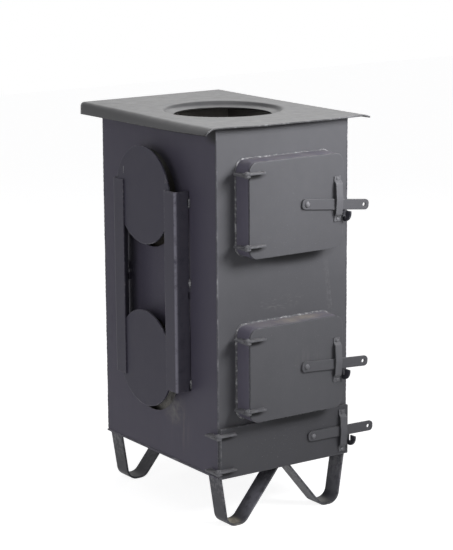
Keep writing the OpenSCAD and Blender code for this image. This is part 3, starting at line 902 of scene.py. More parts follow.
@dataclass(frozen=True)
class BareMetal:
    """Metal that was left bare or only brushed over: weld beads, castings and the ash pan.

    Attributes:
        name: Name of the material.
        colour: Main colour.
        stain: Colour of its stains.
        stained: Share of the surface that is stained.
        scale: Number of stains to a metre.
        roughness: Roughness.
        metallic: How much it shines as metal.
        relief: Height in millimetres of its lumps.
        lumps: Number of lumps to a metre.
    """

    name: str
    colour: Tone
    stain: Tone
    stained: float = 0.5
    scale: float = 90.0
    roughness: float = 0.55
    metallic: float = 0.3
    relief: float = 0.15
    lumps: float = 420.0

    def material(self) -> bpy.types.Material:
        """Builds the material: stains over the metal, and lumps in its surface.

        Stains lie where a noise passes a value that falls as the stained share grows.

        Returns:
            The material.
        """
        material, graph = new_material(self.name)
        cloud = graph.noise(self.scale, detail=5.0, offset=0.5, roughness=0.6)
        start = STAIN_START[0] - STAIN_START[1] * self.stained
        stain = cloud.between(start + STAIN_EDGE[0], start + STAIN_EDGE[1])
        fine = graph.noise(self.lumps, detail=3.0, offset=1.7)
        colour = graph.mixed(stain, linear(self.colour), linear(self.stain))
        graph.steel(graph.shaded(colour, METAL_GREYS[0] + fine * METAL_GREYS[1]),
                    self.roughness + stain * STAIN_ROUGHER, (1 - stain) * self.metallic, METAL_GLOSS,
                    fine * self.relief)
        return material


PALE_DUST = (150, 146, 136)
# colour of a painted pool of light on the left side
PAINTED_LIGHT_TONE = (146, 144, 138)
PALE_FLECK = (190, 190, 192)
# colour of the painted shadows
PAINTED_SHADE_TONE = (14, 14, 17)
# Painted shadows on the door faces under the hinge leaves.
LEAF_PAINTED_SHADOWS = tuple(Mark(MarkKind.PAINTED_SHADE, (-101.0, -44.3, height), (36.0, 8.0, 9.0), PAINTED_SHADE_TONE, 0.95)
                   for height in (577.0, 442.0, 266.0, 131.0))
BARE_STEEL = (150, 150, 154)

# pale inner faces: painted light on the dark inside of the stove
FRONT_PAINT = StovePaint("front_paint", (87, 87, 91), inner_face=(190, 186, 181), marks=(
    Mark(MarkKind.SCUFF, (-4, 0, 322), (72, 20, 17), (150, 150, 150), 0.24),
    Mark(MarkKind.SPECKS, (0, 0, 330), (170, 20, 330), PALE_FLECK, 0.26),
    # painted shadow under the upper door
    Mark(MarkKind.PAINTED_SHADE, (24, 0, 409), (108, 12, 21), PAINTED_SHADE_TONE, 0.85),
    # painted shadow under the top plate's front edge
    Mark(MarkKind.PAINTED_SHADE, (-20, 0, 661), (230, 12, 11), PAINTED_SHADE_TONE, 0.8),
    # painted shade across the front sheet between the doors
    Mark(MarkKind.PAINTED_SHADE, (0, 0, 330), (260, 20, 110), (60, 60, 64), 0.28),
    Mark(MarkKind.WEAR_AND_PAINTED_LIGHT, (-149, 0, 330), (3, 9, 360), BARE_STEEL, 0.2)))
# pale inner faces: painted light on the dark inside of the stove
SIDE_PAINT = StovePaint("side_paint", (74, 71, 84), inner_face=(140, 136, 133), streaks=0.07, marks=(
    # painted pool of light on the side below the front rail's lower end, in the dust pattern
    Mark(MarkKind.DUST, (-150, 152, 106), (20, 50, 42), PAINTED_LIGHT_TONE, 0.75),
    Mark(MarkKind.RUN, (-150, 130, 80), (20, 60, 70), PALE_DUST, 0.16),
    Mark(MarkKind.SPECKS, (-150, 382, 624), (20, 20, 20), PALE_FLECK, 0.9),
    # painted shadow under the front end of the top plate's left lip
    Mark(MarkKind.PAINTED_SHADE, (-150, 0, 652), (14, 50, 26), PAINTED_SHADE_TONE, 1.0),
    Mark(MarkKind.SPECKS, (-150, 200, 330), (20, 220, 340), PALE_FLECK, 0.24)))
COLLAR_PAINT = StovePaint("collar_paint", (98, 95, 108), rubbed=0.6, waviness=0.2, dust=0.3, marks=(
    Mark(MarkKind.DUST, (10, -20, 292), (130, 30, 9), (146, 139, 127), 0.85),))
DISC_PAINT = StovePaint("disc_paint", (60, 58, 70), waviness=0.6, rubbed=0.55)
TOP_PAINT = StovePaint(
    # sooty dark inner faces, with painted shade under the top's overhang
    "top_paint", (72, 72, 74), roughness=0.31, streaks=0.0, dust=0.1, inner_face=(26, 25, 24), waviness=0.7, rubbed=0.6,
    gloss=0.2, marks=(
    # painted shade on the outer face of the left lip
    Mark(MarkKind.PAINTED_SHADE, (-196, 200, 648), (17, 1600, 34), (30, 29, 35), 0.9),))
DOOR_PAINT = StovePaint("door_paint", (84, 84, 88), roughness=0.5, rubbed=0.2, marks=(
    Mark(MarkKind.RUN, (35, -45, 216), (60, 10, 34), (112, 112, 114), 0.3),
    # the last four marks are painted shadows under the hinge leaves
    Mark(MarkKind.SPECKS, (0, -45, 350), (150, 30, 350), PALE_FLECK, 0.2), *LEAF_PAINTED_SHADOWS))
ASH_DOOR_PAINT = StovePaint("ash_door_paint", (74, 74, 78), roughness=0.52, marks=(
    Mark(MarkKind.SPECKS, (0, -8, 50), (160, 20, 60), PALE_FLECK, 0.3),
    # painted shadows under the ash door's hinge leaves
    *(Mark(MarkKind.PAINTED_SHADE, (-140, -8, height), (32, 8, 8), PAINTED_SHADE_TONE, 0.9) for height in (81, 12)),
    # painted shadow of the lower door across the ash door's top
    Mark(MarkKind.PAINTED_SHADE, (22, -8, 94), (100, 12, 13), PAINTED_SHADE_TONE, 0.6)))
BAR_PAINT = StovePaint("bar_paint", (70, 70, 75), rubbed=0.5, streaks=0.02, waviness=0.1, mottle=0.04, marks=(
    # painted light on the front feet: the left foot's inner leg and the right foot's outer leg
    Mark(MarkKind.WEAR_AND_PAINTED_LIGHT, (-62, 6, -60), (64, 40, 50), (124, 123, 132), 0.9),
    Mark(MarkKind.WEAR_AND_PAINTED_LIGHT, (131, 6, -55), (30, 40, 64), (104, 104, 111), 0.75),
    # painted shade on the rear left foot
    Mark(MarkKind.PAINTED_SHADE, (-110, 375, -50), (80, 80, 90), (46, 46, 50), 0.55),
    Mark(MarkKind.WEAR_AND_PAINTED_LIGHT, (-107, 22, -98), (26, 30, 9), (196, 188, 168), 0.95),
    Mark(MarkKind.WEAR_AND_PAINTED_LIGHT, (107, 22, -98), (26, 30, 8), (140, 138, 132), 0.5)))
RAIL_PAINT = StovePaint("rail_paint", (67, 65, 76), rubbed=0.35, streaks=0.06, waviness=0.2, marks=(
    # painted highlight along the front rail's bend
    Mark(MarkKind.WEAR_AND_PAINTED_LIGHT, (-181.6, 91.4, 345), (4.4, 5.0, 1500), (132, 130, 142), 0.9),
    # painted light on the front rail's face, lighter beside the bend
    Mark(MarkKind.WEAR_AND_PAINTED_LIGHT, (-168, 90, 345), (22, 4, 1500), (96, 94, 104), 0.35)))
LEVER_PAINT = StovePaint("lever_paint", (84, 84, 88), rubbed=0.0, waviness=0.05, drift=0.06, grain=0.02)
GUIDE_PAINT = StovePaint("guide_paint", (96, 96, 100), rubbed=0.2, waviness=0.05, drift=0.06)
CATCH_PAINT = StovePaint("catch_paint", (50, 50, 57), rubbed=0.4, waviness=0.05)
HINGE_PAINT = StovePaint("hinge_paint", (92, 92, 96), rubbed=0.35, waviness=0.05, dust=0.15, mottle=0.03)
# lighter than the door's paint as a painted highlight on the rivet and pin heads; the rubbed arrises are wear
RIVET_PAINT = StovePaint("rivet_paint", (100, 100, 104), rubbed=0.6, waviness=0.0, drift=0.05)
LINER_PAINT = StovePaint("liner_paint", (70, 66, 62), drift=0.2, mottle=0.1, waviness=1.0, rubbed=0.0, marks=(
    # painted light: a near-white patch on the liner, seen in the gap below the lower disc
    Mark(MarkKind.DUST, (-127, 205, 104), (30, 75, 45), (236, 233, 226), 1.0),))
WELD_METAL = BareMetal("weld_metal", (150, 150, 152), (88, 88, 92), stained=0.7, scale=120.0, metallic=0.2, relief=0.3)
SEAM_METAL = BareMetal("seam_metal", (132, 132, 137), (78, 78, 84), stained=0.82, scale=26.0, metallic=0.2, relief=0.2)
INNER_STEEL = BareMetal("inner_steel", (122, 118, 114), (66, 62, 59), stained=0.6, scale=22.0, roughness=0.7,
                        metallic=0.1)
GRATE_IRON = BareMetal("grate_iron", (54, 52, 52), (74, 58, 48), stained=0.3, scale=60.0,
                       roughness=0.75, metallic=0.1, relief=0.4, lumps=260.0)
PAN_STEEL = BareMetal("pan_steel", (118, 118, 120), (84, 82, 80), stained=0.45, scale=40.0,
                      roughness=0.45, metallic=0.6, relief=0.05)

Finish = StovePaint | BareMetal
MERGED_WITHIN = 0.002 * MM  # points nearer than this are one


def put_in(name: str, data: bpy.types.ID) -> bpy.types.Object:
    """A new object of the scene.

    Args:
        name: Name of the object.
        data: Its mesh, lamp or camera.

    Returns:
        The object.
    """
    thing = bpy.data.objects.new(name, data)
    bpy.context.scene.collection.objects.link(thing)
    return thing


@dataclass
class Workshop:
    """Turns shells into pieces of the stove, and keeps one material for each finish.

    Attributes:
        materials: Materials made so far, by name.
        made: Number of pieces made so far.
    """

    materials: dict[str, bpy.types.Material] = field(default_factory=dict)
    made: int = 0

    def finish(self, finish: Finish) -> bpy.types.Material:
        """The material of a finish, made when it is first asked for.

        Args:
            finish: The finish.

        Returns:
            Its material.
        """
        if finish.name not in self.materials:
            self.materials[finish.name] = finish.material()
        return self.materials[finish.name]

    def piece(self, name: str, shell: Shell, body: Body, finish: Finish, slot: Slot, replaces: Sequence[str] = (),
              smooth: float = 32.0, sheet: bool = False) -> bpy.types.Object:
        """Makes a piece of a shell, with its points merged and its faces turned outwards.

        Args:
            name: Name of the piece.
            shell: Its surface.
            body: The body that it rides on.
            finish: Its finish.
            slot: The record's slot that the finish belongs to; not used.
            replaces: The model's nodes for which it stands.
            smooth: Angle in degrees above which an edge stays sharp.
            sheet: Whether the shell is an open sheet that gets its thickness later, and keeps its faces' sides.

        Returns:
            The piece.
        """
        mesh = bpy.data.meshes.new(name)
        faces = [face for group in shell.faces for face in group.tolist()]
        mesh.from_pydata(to_metres(shell.points).tolist(), [], faces)
        wear = mesh.attributes.new("wear", "FLOAT", "POINT")
        wear.data.foreach_set("value", shell.wear.astype(np.float32))
        work = bmesh.new()
        work.from_mesh(mesh)
        bmesh.ops.remove_doubles(work, verts=work.verts, dist=MERGED_WITHIN)
        if not sheet:
            bmesh.ops.recalc_face_normals(work, faces=work.faces)
        work.to_mesh(mesh)
        work.free()
        mesh.shade_smooth()
        mesh.set_sharp_from_angle(angle=math.radians(smooth))
        piece = put_in(name, mesh)
        mesh.materials.append(self.finish(finish))
        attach(piece, body.value)
        if replaces:
            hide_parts(*replaces)
        self.made += 1
        log.info("piece %s on %s: %d faces", name, body.value, len(mesh.polygons))
        return piece

    def dress(self, node: str, finish: Finish) -> None:
        """Gives a node of the model that stays in view its finish.

        Args:
            node: Name of the node.
            finish: Its finish.
        """
        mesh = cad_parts[node].data
        if not mesh.materials:
            mesh.materials.append(None)
        for i in range(len(mesh.materials)):
            mesh.materials[i] = self.finish(finish)
        log.info("node %s keeps its solid", node)


@dataclass
class BodyShell:
    """The body's sheets and the welds along their corners.

    Attributes:
        half: Half of the body's width.
        low: Height of the walls' lower edge, on the base plate.
        high: Height of their upper edge.
        doorway: Width, height and corner radius of a fire door's opening.
        doorway_heights: Heights of the two openings' middles.
        ash_opening: X and Z of the ash opening's middle, its width and its height.
        port: Radius of the side ports.
        port_places: Y and Z of their middles.
        flue_hole: Height of the flue hole's middle, and its radius.
        base_edge: How far the base plate stands out.
        seam_inset: Depth of a corner seam's line inside the corner.
    """

    half: float = HALF_WIDTH
    depth: float = DEPTH
    low: float = BASE
    high: float = 663.0
    sheet: float = 3.0
    doorway: tuple[float, float, float] = (207.0, 172.0, 14.0)
    doorway_heights: tuple[float, float] = (UPPER_Z, LOWER_Z)
    ash_opening: tuple[float, float, float, float] = (12.25, 50.0, 249.5, 80.0)
    port: float = 95.0
    port_places: tuple[tuple[float, float], ...] = ((228.0, 505.0), (228.0, 180.0))
    flue_hole: tuple[float, float] = (FLUE_Z, 58.0)
    base_edge: float = 1.5
    seam_inset: float = 0.9
    corner_seam: Bead = Bead(1.5, 9.0)
    base_seam: Bead = Bead(1.3, 7.0)

    def build(self, shop: Workshop) -> None:
        """Builds the five sheets and the welds.

        Args:
            shop: The workshop that makes the pieces.
        """
        rows = sheet_rows(self.sheet, arris=0.4, band=1.2)
        front = rectangle((-self.half, self.low), (self.half, self.high), radius=0.6)
        width, height, radius = self.doorway
        openings = [round_box((0, z), width, height, radius) for z in self.doorway_heights]
        ash_x, ash_z, width, height = self.ash_opening
        openings.append(round_box((ash_x, ash_z), width, height, radius=1.0, steps=3))
        flue_z, flue_r = self.flue_hole
        rear = self.depth - self.sheet
        side = rectangle((self.sheet, self.low), (rear, self.high))
        side_rows = [(0.0, 0.0, 0.0), (0.0, self.sheet, 0.0)]
        ports = [circle(place, self.port, steps=96) for place in self.port_places]
        edge = self.half + self.base_edge
        base = rectangle((-edge, 0), (edge, self.depth + self.base_edge), radius=0.8)
        sheets = [
            ("front_sheet", plate(front, Facing.FRONT, 0, rows, openings), FRONT_PAINT, Slot.BODY, "front_panel"),
            ("rear_sheet", plate(front, Facing.FRONT, rear, rows, [circle((0, flue_z), flue_r)]), FRONT_PAINT,
             Slot.BODY, "rear_panel"),
            ("left_sheet", plate(side, Facing.SIDE, -self.half, side_rows, ports), SIDE_PAINT, Slot.SIDE,
             "left_panel"),
            ("right_sheet", plate(side, Facing.SIDE, self.half - self.sheet, side_rows), SIDE_PAINT, Slot.SIDE,
             "right_panel"),
            ("base_sheet", plate(base, Facing.LEVEL, 0, sheet_rows(self.low, arris=0.5)), SIDE_PAINT, Slot.BODY,
             "base_plate")]
        for name, shell, finish, slot, node in sheets:
            shop.piece(name, shell, Body.FIXED, finish, slot, [node])
        self._seams(shop)

    def _seams(self, shop: Workshop) -> None:
        """Runs a low ground weld down each upright corner and along the base's left and right edges.

        Args:
            shop: The workshop that makes the pieces.
        """
        slant = math.sqrt(0.5)
        rows = (("front", self.seam_inset, -slant), ("rear", self.depth - self.seam_inset, slant))
        for seed, ((row, y, back), (hand, side)) in enumerate(product(rows, SIDES)):
            x = side * (self.half - self.seam_inset)
            path = np.array([(x, y, self.low + 2), (x, y, self.high - 3)])
            shop.piece(f"{row}_{hand}_corner_seam", weld_bead(path, self.corner_seam, (side * slant, back, 0), seed),
                       Body.FIXED, SEAM_METAL, Slot.BODY)
        for seed, (hand, side) in enumerate(SIDES, start=10):
            x = side * self.half
            path = np.array([(x, 8, self.low), (x, self.depth - 8, self.low)])
            shop.piece(f"{hand}_base_seam", weld_bead(path, self.base_seam, (side, 0, 0), seed), Body.FIXED,
                       SEAM_METAL, Slot.BODY)


@dataclass(frozen=True)
class Lip:
    """One bent-down side of the top plate, each size as a pair for its front end and its rear end.

    Attributes:
        reach: Distance of the outermost point from the middle.
        angle: Angle of the bend in degrees.
        radius: Radius of the bend.
        drop: Depth of the lip's lower edge below the top.
    """

    reach: tuple[float, float]
    angle: tuple[float, float]
    radius: tuple[float, float]
    drop: tuple[float, float]


@dataclass
class TopPlate:
    """The pressed top sheet with its dished pot hole and bent-down sides.

    Attributes:
        dish: Profile of the dish: distance beyond the hole's edge, and height.
        shares: Places of the rings between the dish and the sheet's edge.
        tail_shares: Places of the rows on a bent side's straight tail.
        swells: Height of each swell of the front edge, its place and its width; a dip's height is negative.
        fading: Distance over which the swells fade towards the rear.
    """

    top: float = 666.0
    sheet: float = 3.0
    left: Lip = Lip(reach=(191.0, 167.0), angle=(45.0, 88.0), radius=(26.0, 8.0), drop=(11.5, 24.0))
    right: Lip = Lip(reach=(185.0, 171.0), angle=(22.0, 80.0), radius=(25.0, 5.0), drop=(4.5, 16.0))
    flat_half: float = 156.0
    front: float = -25.5
    rear: float = 456.0
    pot_y: float = 199.0
    pot_r: float = 95.0
    dish: tuple[tuple[float, float], ...] = (
        (0.0, -10.3), (1.5, -10.1), (6.0, -9.1), (11.5, -7.7), (15.0, -6.4), (17.0, -4.7), (19.0, -2.5), (21.0, -0.9),
        (23.5, -0.2), (26.5, 0.0))
    shares: tuple[float, ...] = (0.1, 0.3, 0.55, 0.8, 0.985, 1.0)
    side_steps: int = 60
    bend_steps: int = 10
    tail_shares: tuple[float, ...] = (0.4, 0.8, 1.0)
    crown: float = 1.4
    swells: tuple[tuple[float, float, float], ...] = ((3.2, -160.0, 65.0), (-1.0, 90.0, 70.0))
    fading: float = 90.0
    edge_r: float = 0.5
    edge_angle: float = 55.0

    def build(self, shop: Workshop) -> None:
        """Builds the sheet's upper surface and gives it its thickness and rounded edges.

        Args:
            shop: The workshop that makes the pieces.
        """
        surface = self._flat_part() + self._strip(self.left) + self._strip(self.right).mirrored().turned_up()
        surface.points[:, 2] += self._warp(surface.points)
        piece = shop.piece("top_sheet", surface, Body.FIXED, TOP_PAINT, Slot.TOP, ["top_plate"],
                           smooth=40.0, sheet=True)
        wall = piece.modifiers.new("sheet", "SOLIDIFY")
        wall.thickness = self.sheet * MM
        wall.offset = -1
        wall.use_even_offset = True
        edge = piece.modifiers.new("edge", "BEVEL")
        edge.width = self.edge_r * MM
        edge.segments = 2
        edge.limit_method = "ANGLE"
        edge.angle_limit = math.radians(self.edge_angle)

    def _flat_part(self) -> Shell:
        """The dish and the flat sheet round it, on a grid of rings by rays from the pot hole's centre.

        The rings take their distance from the hole and their height from the dish's profile. Beyond it each ray
        runs straight from the dish's rim to a point of the sheet's edge.

        Returns:
            The open surface.
        """
        x, y0, y1, n = self.flat_half, self.front, self.rear, self.side_steps
        along_x, along_y = np.linspace(-x, x, n + 1)[:-1], np.linspace(y0, y1, n + 1)[:-1]
        edge = np.vstack([np.column_stack([along_x, np.full(n, y0)]), np.column_stack([np.full(n, x), along_y]),
                          np.column_stack([-along_x, np.full(n, y1)]),
                          np.column_stack([np.full(n, -x), y0 + y1 - along_y])])
        middle = np.array([0.0, self.pot_y])
        ray = unit(edge - middle)
        out, rise = np.array(self.dish).T
        rings = middle + (self.pot_r + out)[:, None, None] * ray[None]
        share = np.array(self.shares)
        outer = rings[-1] + share[:, None, None] * (edge - rings[-1])[None]
        flat = np.concatenate([rings, outer])
        height = self.top + np.concatenate([rise, np.zeros(len(share))])
        points = np.concatenate([flat, np.broadcast_to(height[:, None, None], (*flat.shape[:2], 1))], axis=2)
        wear = np.zeros(flat.shape[:2])
        wear[0] = 1
        wear[-1] = np.isclose(edge[:, 1], y0) | np.isclose(edge[:, 1], y1)
        shell = Shell(points.reshape(-1, 3), [grid_faces(*flat.shape[:2])], wear.reshape(-1))
        return shell.turned_up()

    def _warp(self, points: Array) -> Array:
        """How far the sheet stands off its plane: a low crown in the middle, and swells at the front.

        The crown is the product of two parabolas that reach 0 at the sheet's sides and ends. Each swell is a bell
        curve about a place on the front edge, times another that fades it towards the rear.

        Args:
            points: Places on the sheet.

        Returns:
            The rise at each place.
        """
        x, y = points[:, 0], points[:, 1] - self.front
        span = (self.rear - self.front) / 2
        crown = np.clip(1 - (x / self.flat_half) ** 2, 0, 1) * (1 - (y / span - 1) ** 2)
        rise = self.crown * crown
        for height, place, width in self.swells:
            rise = rise + height * np.exp(-((x - place) / width) ** 2) * np.exp(-(y / self.fading) ** 2)
        return rise

    def _strip(self, lip: Lip) -> Shell:
        """A bent strip on the left side, whose bend tightens from the front to the rear.

        At each place along the side the section runs flat, turns down through the bend's angle on its radius, and
        ends in a straight tail of such a length that the strip drops as far as it should. The bend starts where that
        brings the outermost point to the lip's reach.

        Args:
            lip: Sizes of the lip.

        Returns:
            The open surface.
        """
        y = np.linspace(self.front, self.rear, self.side_steps + 1)
        way = (y - self.front) / (self.rear - self.front)
        reach, angle, radius, drop = (first + (last - first) * way
                                      for first, last in (lip.reach, lip.angle, lip.radius, lip.drop))
        angle = np.radians(angle)
        tail = (drop - radius * (1 - np.cos(angle))) / np.sin(angle)
        bend_x = reach - radius * np.sin(angle) - tail * np.cos(angle)
        turn = np.linspace(0, 1, self.bend_steps)[:, None] * angle[None]
        bend = np.stack([bend_x + radius * np.sin(turn), radius * (1 - np.cos(turn))], axis=-1)
        share = np.array(self.tail_shares)[:, None, None]
        ends = bend[-1] + share * np.stack([tail * np.cos(angle), tail * np.sin(angle)], axis=-1)
        start = np.stack([np.full_like(y, self.flat_half), np.zeros_like(y)], axis=-1)[None]
        rows = np.concatenate([start, bend, ends])
        points = np.stack([-rows[..., 0], np.broadcast_to(y, rows.shape[:2]), self.top - rows[..., 1]], axis=-1)
        wear = np.zeros(rows.shape[:2])
        wear[-1] = 1
        wear[:, [0, -1]] = 1
        return Shell(points.reshape(-1, 3), [grid_faces(*rows.shape[:2], False)], wear.reshape(-1)).turned_up()


@dataclass
class Feet:
    """The four feet of flat bar, each bent into a loop, and the welds by which they hang.

    Attributes:
        outer_centre: Centre of the bend below the outer leg of the left foot.
        inner_centre: Centre of the bend below its inner leg.
        outer_angle: Angle at which the outer bend starts, in degrees.
        inner_angle: Angle at which the inner bend ends.
        hidden_top: Height of the legs' ends inside the base plate.
        rows: Names of the two rows of feet, and the Y of each row's front edges.
        weld_places: X of the welds of a left foot.
    """

    bar_w: float = 40.0
    bar_t: float = 4.0
    bend_r: float = 22.0
    outer_centre: tuple[float, float] = (-110.5, -75.0)
    inner_centre: tuple[float, float] = (-102.0, -75.0)
    outer_angle: float = -171.13
    inner_angle: float = -39.14
    hidden_top: float = 1.55
    rows: tuple[tuple[str, float], ...] = (("front", 0.0), ("rear", 355.0))
    weld_places: tuple[float, ...] = (-149.3, -14.5, -8.0)
    weld: Bead = Bead(1.7, 4.0)

    def build(self, shop: Workshop) -> None:
        """Builds the feet from one path and its mirror image.

        Args:
            shop: The workshop that makes the pieces.
        """
        path = self._path()
        for row, y in self.rows:
            foot = strap(path, bar_section(self.bar_t, self.bar_w, arris=0.7, band=1.6), Facing.FRONT, y)
            welds = joined([self._weld(x, y, seed) for seed, x in enumerate(self.weld_places, start=20)])
            for side, shape, beads in (("left", foot, welds), ("right", foot.mirrored(), welds.mirrored())):
                shop.piece(f"{row}_{side}_strap", shape, Body.FIXED, BAR_PAINT, Slot.BAR, [f"{row}_{side}_foot"])
                shop.piece(f"{row}_{side}_foot_welds", beads, Body.FIXED, SEAM_METAL, Slot.BAR)

    def _path(self) -> Array:
        """The middle line: a leg, an arc, the sole, an arc and the leg that slants up to the middle.

        Each leg runs on from its arc's end, at a right angle to the arc's radius there.

        Returns:
            Points of the line.
        """
        outer = arc(self.outer_centre, self.bend_r, self.outer_angle, -90, steps=14)
        inner = arc(self.inner_centre, self.bend_r, -90, self.inner_angle, steps=12)
        a, b = math.radians(self.outer_angle), math.radians(self.inner_angle)
        up_outer, up_inner = np.array([math.sin(a), -math.cos(a)]), np.array([-math.sin(b), math.cos(b)])
        start = outer[0] + up_outer * (self.hidden_top - outer[0, 1]) / up_outer[1]
        end = inner[-1] + up_inner * (self.hidden_top - inner[-1, 1]) / up_inner[1]
        return np.vstack([start, outer, inner, end])

    def _weld(self, x: float, y: float, seed: int) -> Shell:
        """A short bead across the bar, under the base plate."""
        path = np.array([(x, y + 6, 0.0), (x, y + self.bar_w - 5, 0.0)])
        return weld_bead(path, self.weld, (0, 0, -1), seed)


@dataclass
class FireDoor:
    """A fire door on its collar, with its two hinges, its latch and its catch.

    The door and the collar have a width, a height and a corner radius.

    Attributes:
        name: Which of the two doors it is.
        door_body: Body of the door.
        lever_body: Body of its lever.
        middle: Height of the door's middle.
        tilt: Rise of the resting lever's free end in degrees, negative where it hangs.
        weld: Size of the weld round the collar.
        hinges: Heights of the hinges above the door's middle.
        pivot: Place of the lever's rivet from the door's middle.
        guide: Place of the guide's middle from the door's middle.
        weld_out: Distance of the weld's line outside the collar.
        weld_front: Distance of the weld's line in front of the body.
    """

    name: str
    door_body: Body
    lever_body: Body
    middle: float
    tilt: float
    weld: Bead
    face: float = -44.3
    door: tuple[float, float, float] = (214.0, 180.0, 18.0)
    door_t: float = 4.0
    collar: tuple[float, float, float] = (215.0, 180.0, 18.0)
    collar_t: float = 4.0
    collar_d: float = 40.0
    weld_out: float = 0.5
    weld_front: float = 0.4
    hinges: tuple[float, float] = (-66.5, 68.5)
    pivot: tuple[float, float] = (20.0, 1.0)
    guide: tuple[float, float] = (92.0, 4.0)
    guide_l: float = 86.0

    def build(self, shop: Workshop) -> None:
        """Builds the collar with its weld, the door, the hinges and the latch.

        Args:
            shop: The workshop that makes the pieces.
        """
        z = self.middle
        width, height, radius = self.collar
        side = width / 2
        line = round_box((0, z), width - self.collar_t, height - self.collar_t, radius - self.collar_t / 2)
        band = strap(line, bar_section(self.collar_t, self.collar_d, arris=0.5), Facing.FRONT,
                     -self.collar_d, closed=True)
        shop.piece(f"{self.name}_door_collar", band, Body.FIXED, COLLAR_PAINT, Slot.SIDE, [f"{self.name}_collar"])
        self._collar_weld(shop)
        width, height, radius = self.door
        door = plate(round_box((0, z), width, height, radius), Facing.FRONT, self.face,
                     sheet_rows(self.door_t, arris=0.7, band=1.6))
        shop.piece(f"{self.name}_fire_door", door, self.door_body, DOOR_PAINT, Slot.BODY, [f"{self.name}_door"])
        low, high = self.hinges
        Hinges(self.name, self.door_body, -side, self.face, (z + low, z + high)).build(shop)
        Latch(self.name, self.door_body, self.lever_body, self.face, self.door_t,
              pivot=(self.pivot[0], z + self.pivot[1]), tilt=self.tilt,
              guide_place=(self.guide[0], z + self.guide[1]), guide_l=self.guide_l, catch_x=side).build(shop)

    def _collar_weld(self, shop: Workshop) -> None:
        """Runs a thick uneven bead round the collar's foot.

        Args:
            shop: The workshop that makes the pieces.
        """
        width, height, radius = self.collar
        out = self.weld_out
        outline = round_box((0, self.middle), width + 2 * out, height + 2 * out, radius + out, steps=12)
        path = Facing.FRONT.lay(outline, -self.weld_front)
        bead = weld_bead(path, self.weld, (0, -1, 0), seed=int(self.middle), closed=True)
        shop.piece(f"{self.name}_collar_weld", bead, Body.FIXED, WELD_METAL, Slot.SIDE)


@dataclass
class Hinges:
    """The two hinges of a door: tabs on what carries it, leaves on its face, and riveted pins.

    Attributes:
        name: Which door they carry.
        door_body: Body of the door.
        side: X of the side that the tabs are welded to.
        face: Y of the door's face.
        heights: Heights of the two hinges.
        play: Gap round the pins in their holes.
        gap: Gap between a tab and its leaf.
        step: Gap between a tab's bend and the face of the side.
        chamfer: Size of the chamfer on a leaf's free corner.
        head: Profile of a pin's head: radius, height and wear.
    """

    name: str
    door_body: Body
    side: float
    face: float
    heights: tuple[float, float]
    pin_side: float = 7.0
    pin_front: float = 3.0
    pin_r: float = 3.0
    tab_t: float = 4.0
    tab_r: float = 6.5
    tab_l: float = 37.0
    leaf_l: float = 37.0
    leaf_d: float = 11.0
    play: float = 0.05
    gap: float = 0.3
    tab_weld: Bead = Bead(0.9, 3.4)
    leaf_weld: Bead = Bead(0.6, 3.2)
    step: float = 0.6
    chamfer: float = 0.8
    head: tuple[Row, ...] = ((5.0, 0.0, 0.4), (4.7, 0.8, 0.7), (3.6, 1.6, 1.0), (0.0, 2.0, 1.0))

    def build(self, shop: Workshop) -> None:
        """Builds the tabs, leaves and pins, and the short beads that hold them.

        Args:
            shop: The workshop that makes the pieces.
        """
        x, y = self.side - self.pin_side, self.face - self.pin_front
        rows = sheet_rows(self.tab_t, arris=0.6, band=0.7)
        hole = circle((x, y), self.pin_r + self.play, steps=32)
        r = self.tab_r
        tab = np.array([x, y]) + rounded([(self.pin_side, self.step), (self.pin_side, self.tab_l), (-r, self.tab_l),
                                          (-r, -r), (r, -r), (r, self.step)], [0, 0.5, 1.5, 6.4, 6.4, 0])
        top = self.pin_front
        start = math.degrees(math.asin(top / r))
        end, front, back = x + self.leaf_l, y + top - self.leaf_d, y + top
        leaf = np.vstack([arc((x, y), r, start, 262, steps=22),
                          [(x + 1.0, front), (end - self.chamfer, front), (end, front + self.chamfer), (end, back)]])
        tabs, leaves, pins, tab_welds, leaf_welds = [], [], [], [], []
        for i, z in enumerate(self.heights):
            tabs.append(plate(tab, Facing.LEVEL, z - self.gap / 2 - self.tab_t, rows, [hole]))
            leaves.append(plate(leaf, Facing.LEVEL, z + self.gap / 2, rows, [hole]))
            pins.append(lathe(self._pin(z), (x, y), Facing.LEVEL))
            seed = int(z) + 40 * i
            for low in (z - self.gap / 2 - self.tab_t, z - self.gap / 2):
                path = np.array([(self.side - 0.3, self.face + 7, low), (self.side - 0.3, y + self.tab_l - 2, low)])
                tab_welds.append(weld_bead(path, self.tab_weld, (-1, 0, 0), seed))
            under = z + self.gap / 2
            path = np.array([(x + 12, self.face - 0.2, under), (end - 2, self.face - 0.2, under)])
            leaf_welds.append(weld_bead(path, self.leaf_weld, (0, -1, 0), seed + 7))
        for part, shells, body, finish, slot, nodes in (
                ("tabs", tabs, Body.FIXED, HINGE_PAINT, Slot.BAR, [f"{self.name}_hinge_tabs"]),
                ("leaves", leaves, self.door_body, HINGE_PAINT, Slot.BAR, [f"{self.name}_hinge_leaves"]),
                ("pins", pins, Body.FIXED, RIVET_PAINT, Slot.RIVET, [f"{self.name}_hinge_pins"]),
                ("tab_welds", tab_welds, Body.FIXED, WELD_METAL, Slot.BAR, []),
                ("leaf_welds", leaf_welds, self.door_body, WELD_METAL, Slot.BAR, [])):
            shop.piece(f"{self.name}_{part}", joined(shells), body, finish, slot, nodes)

    def _pin(self, z: float) -> Rows:
        """Profile of a pin from its lower head to its upper one.

        Args:
            z: Height of the hinge.

        Returns:
            Rows of radius, height and wear.
        """
        low, high = z - self.gap / 2 - self.tab_t, z + self.gap / 2 + self.tab_t + 0.2
        return ([(r, low - h, w) for r, h, w in self.head[::-1]] + [(self.pin_r, low, 0.0), (self.pin_r, high, 0.0)]
                + [(r, high + h, w) for r, h, w in self.head])


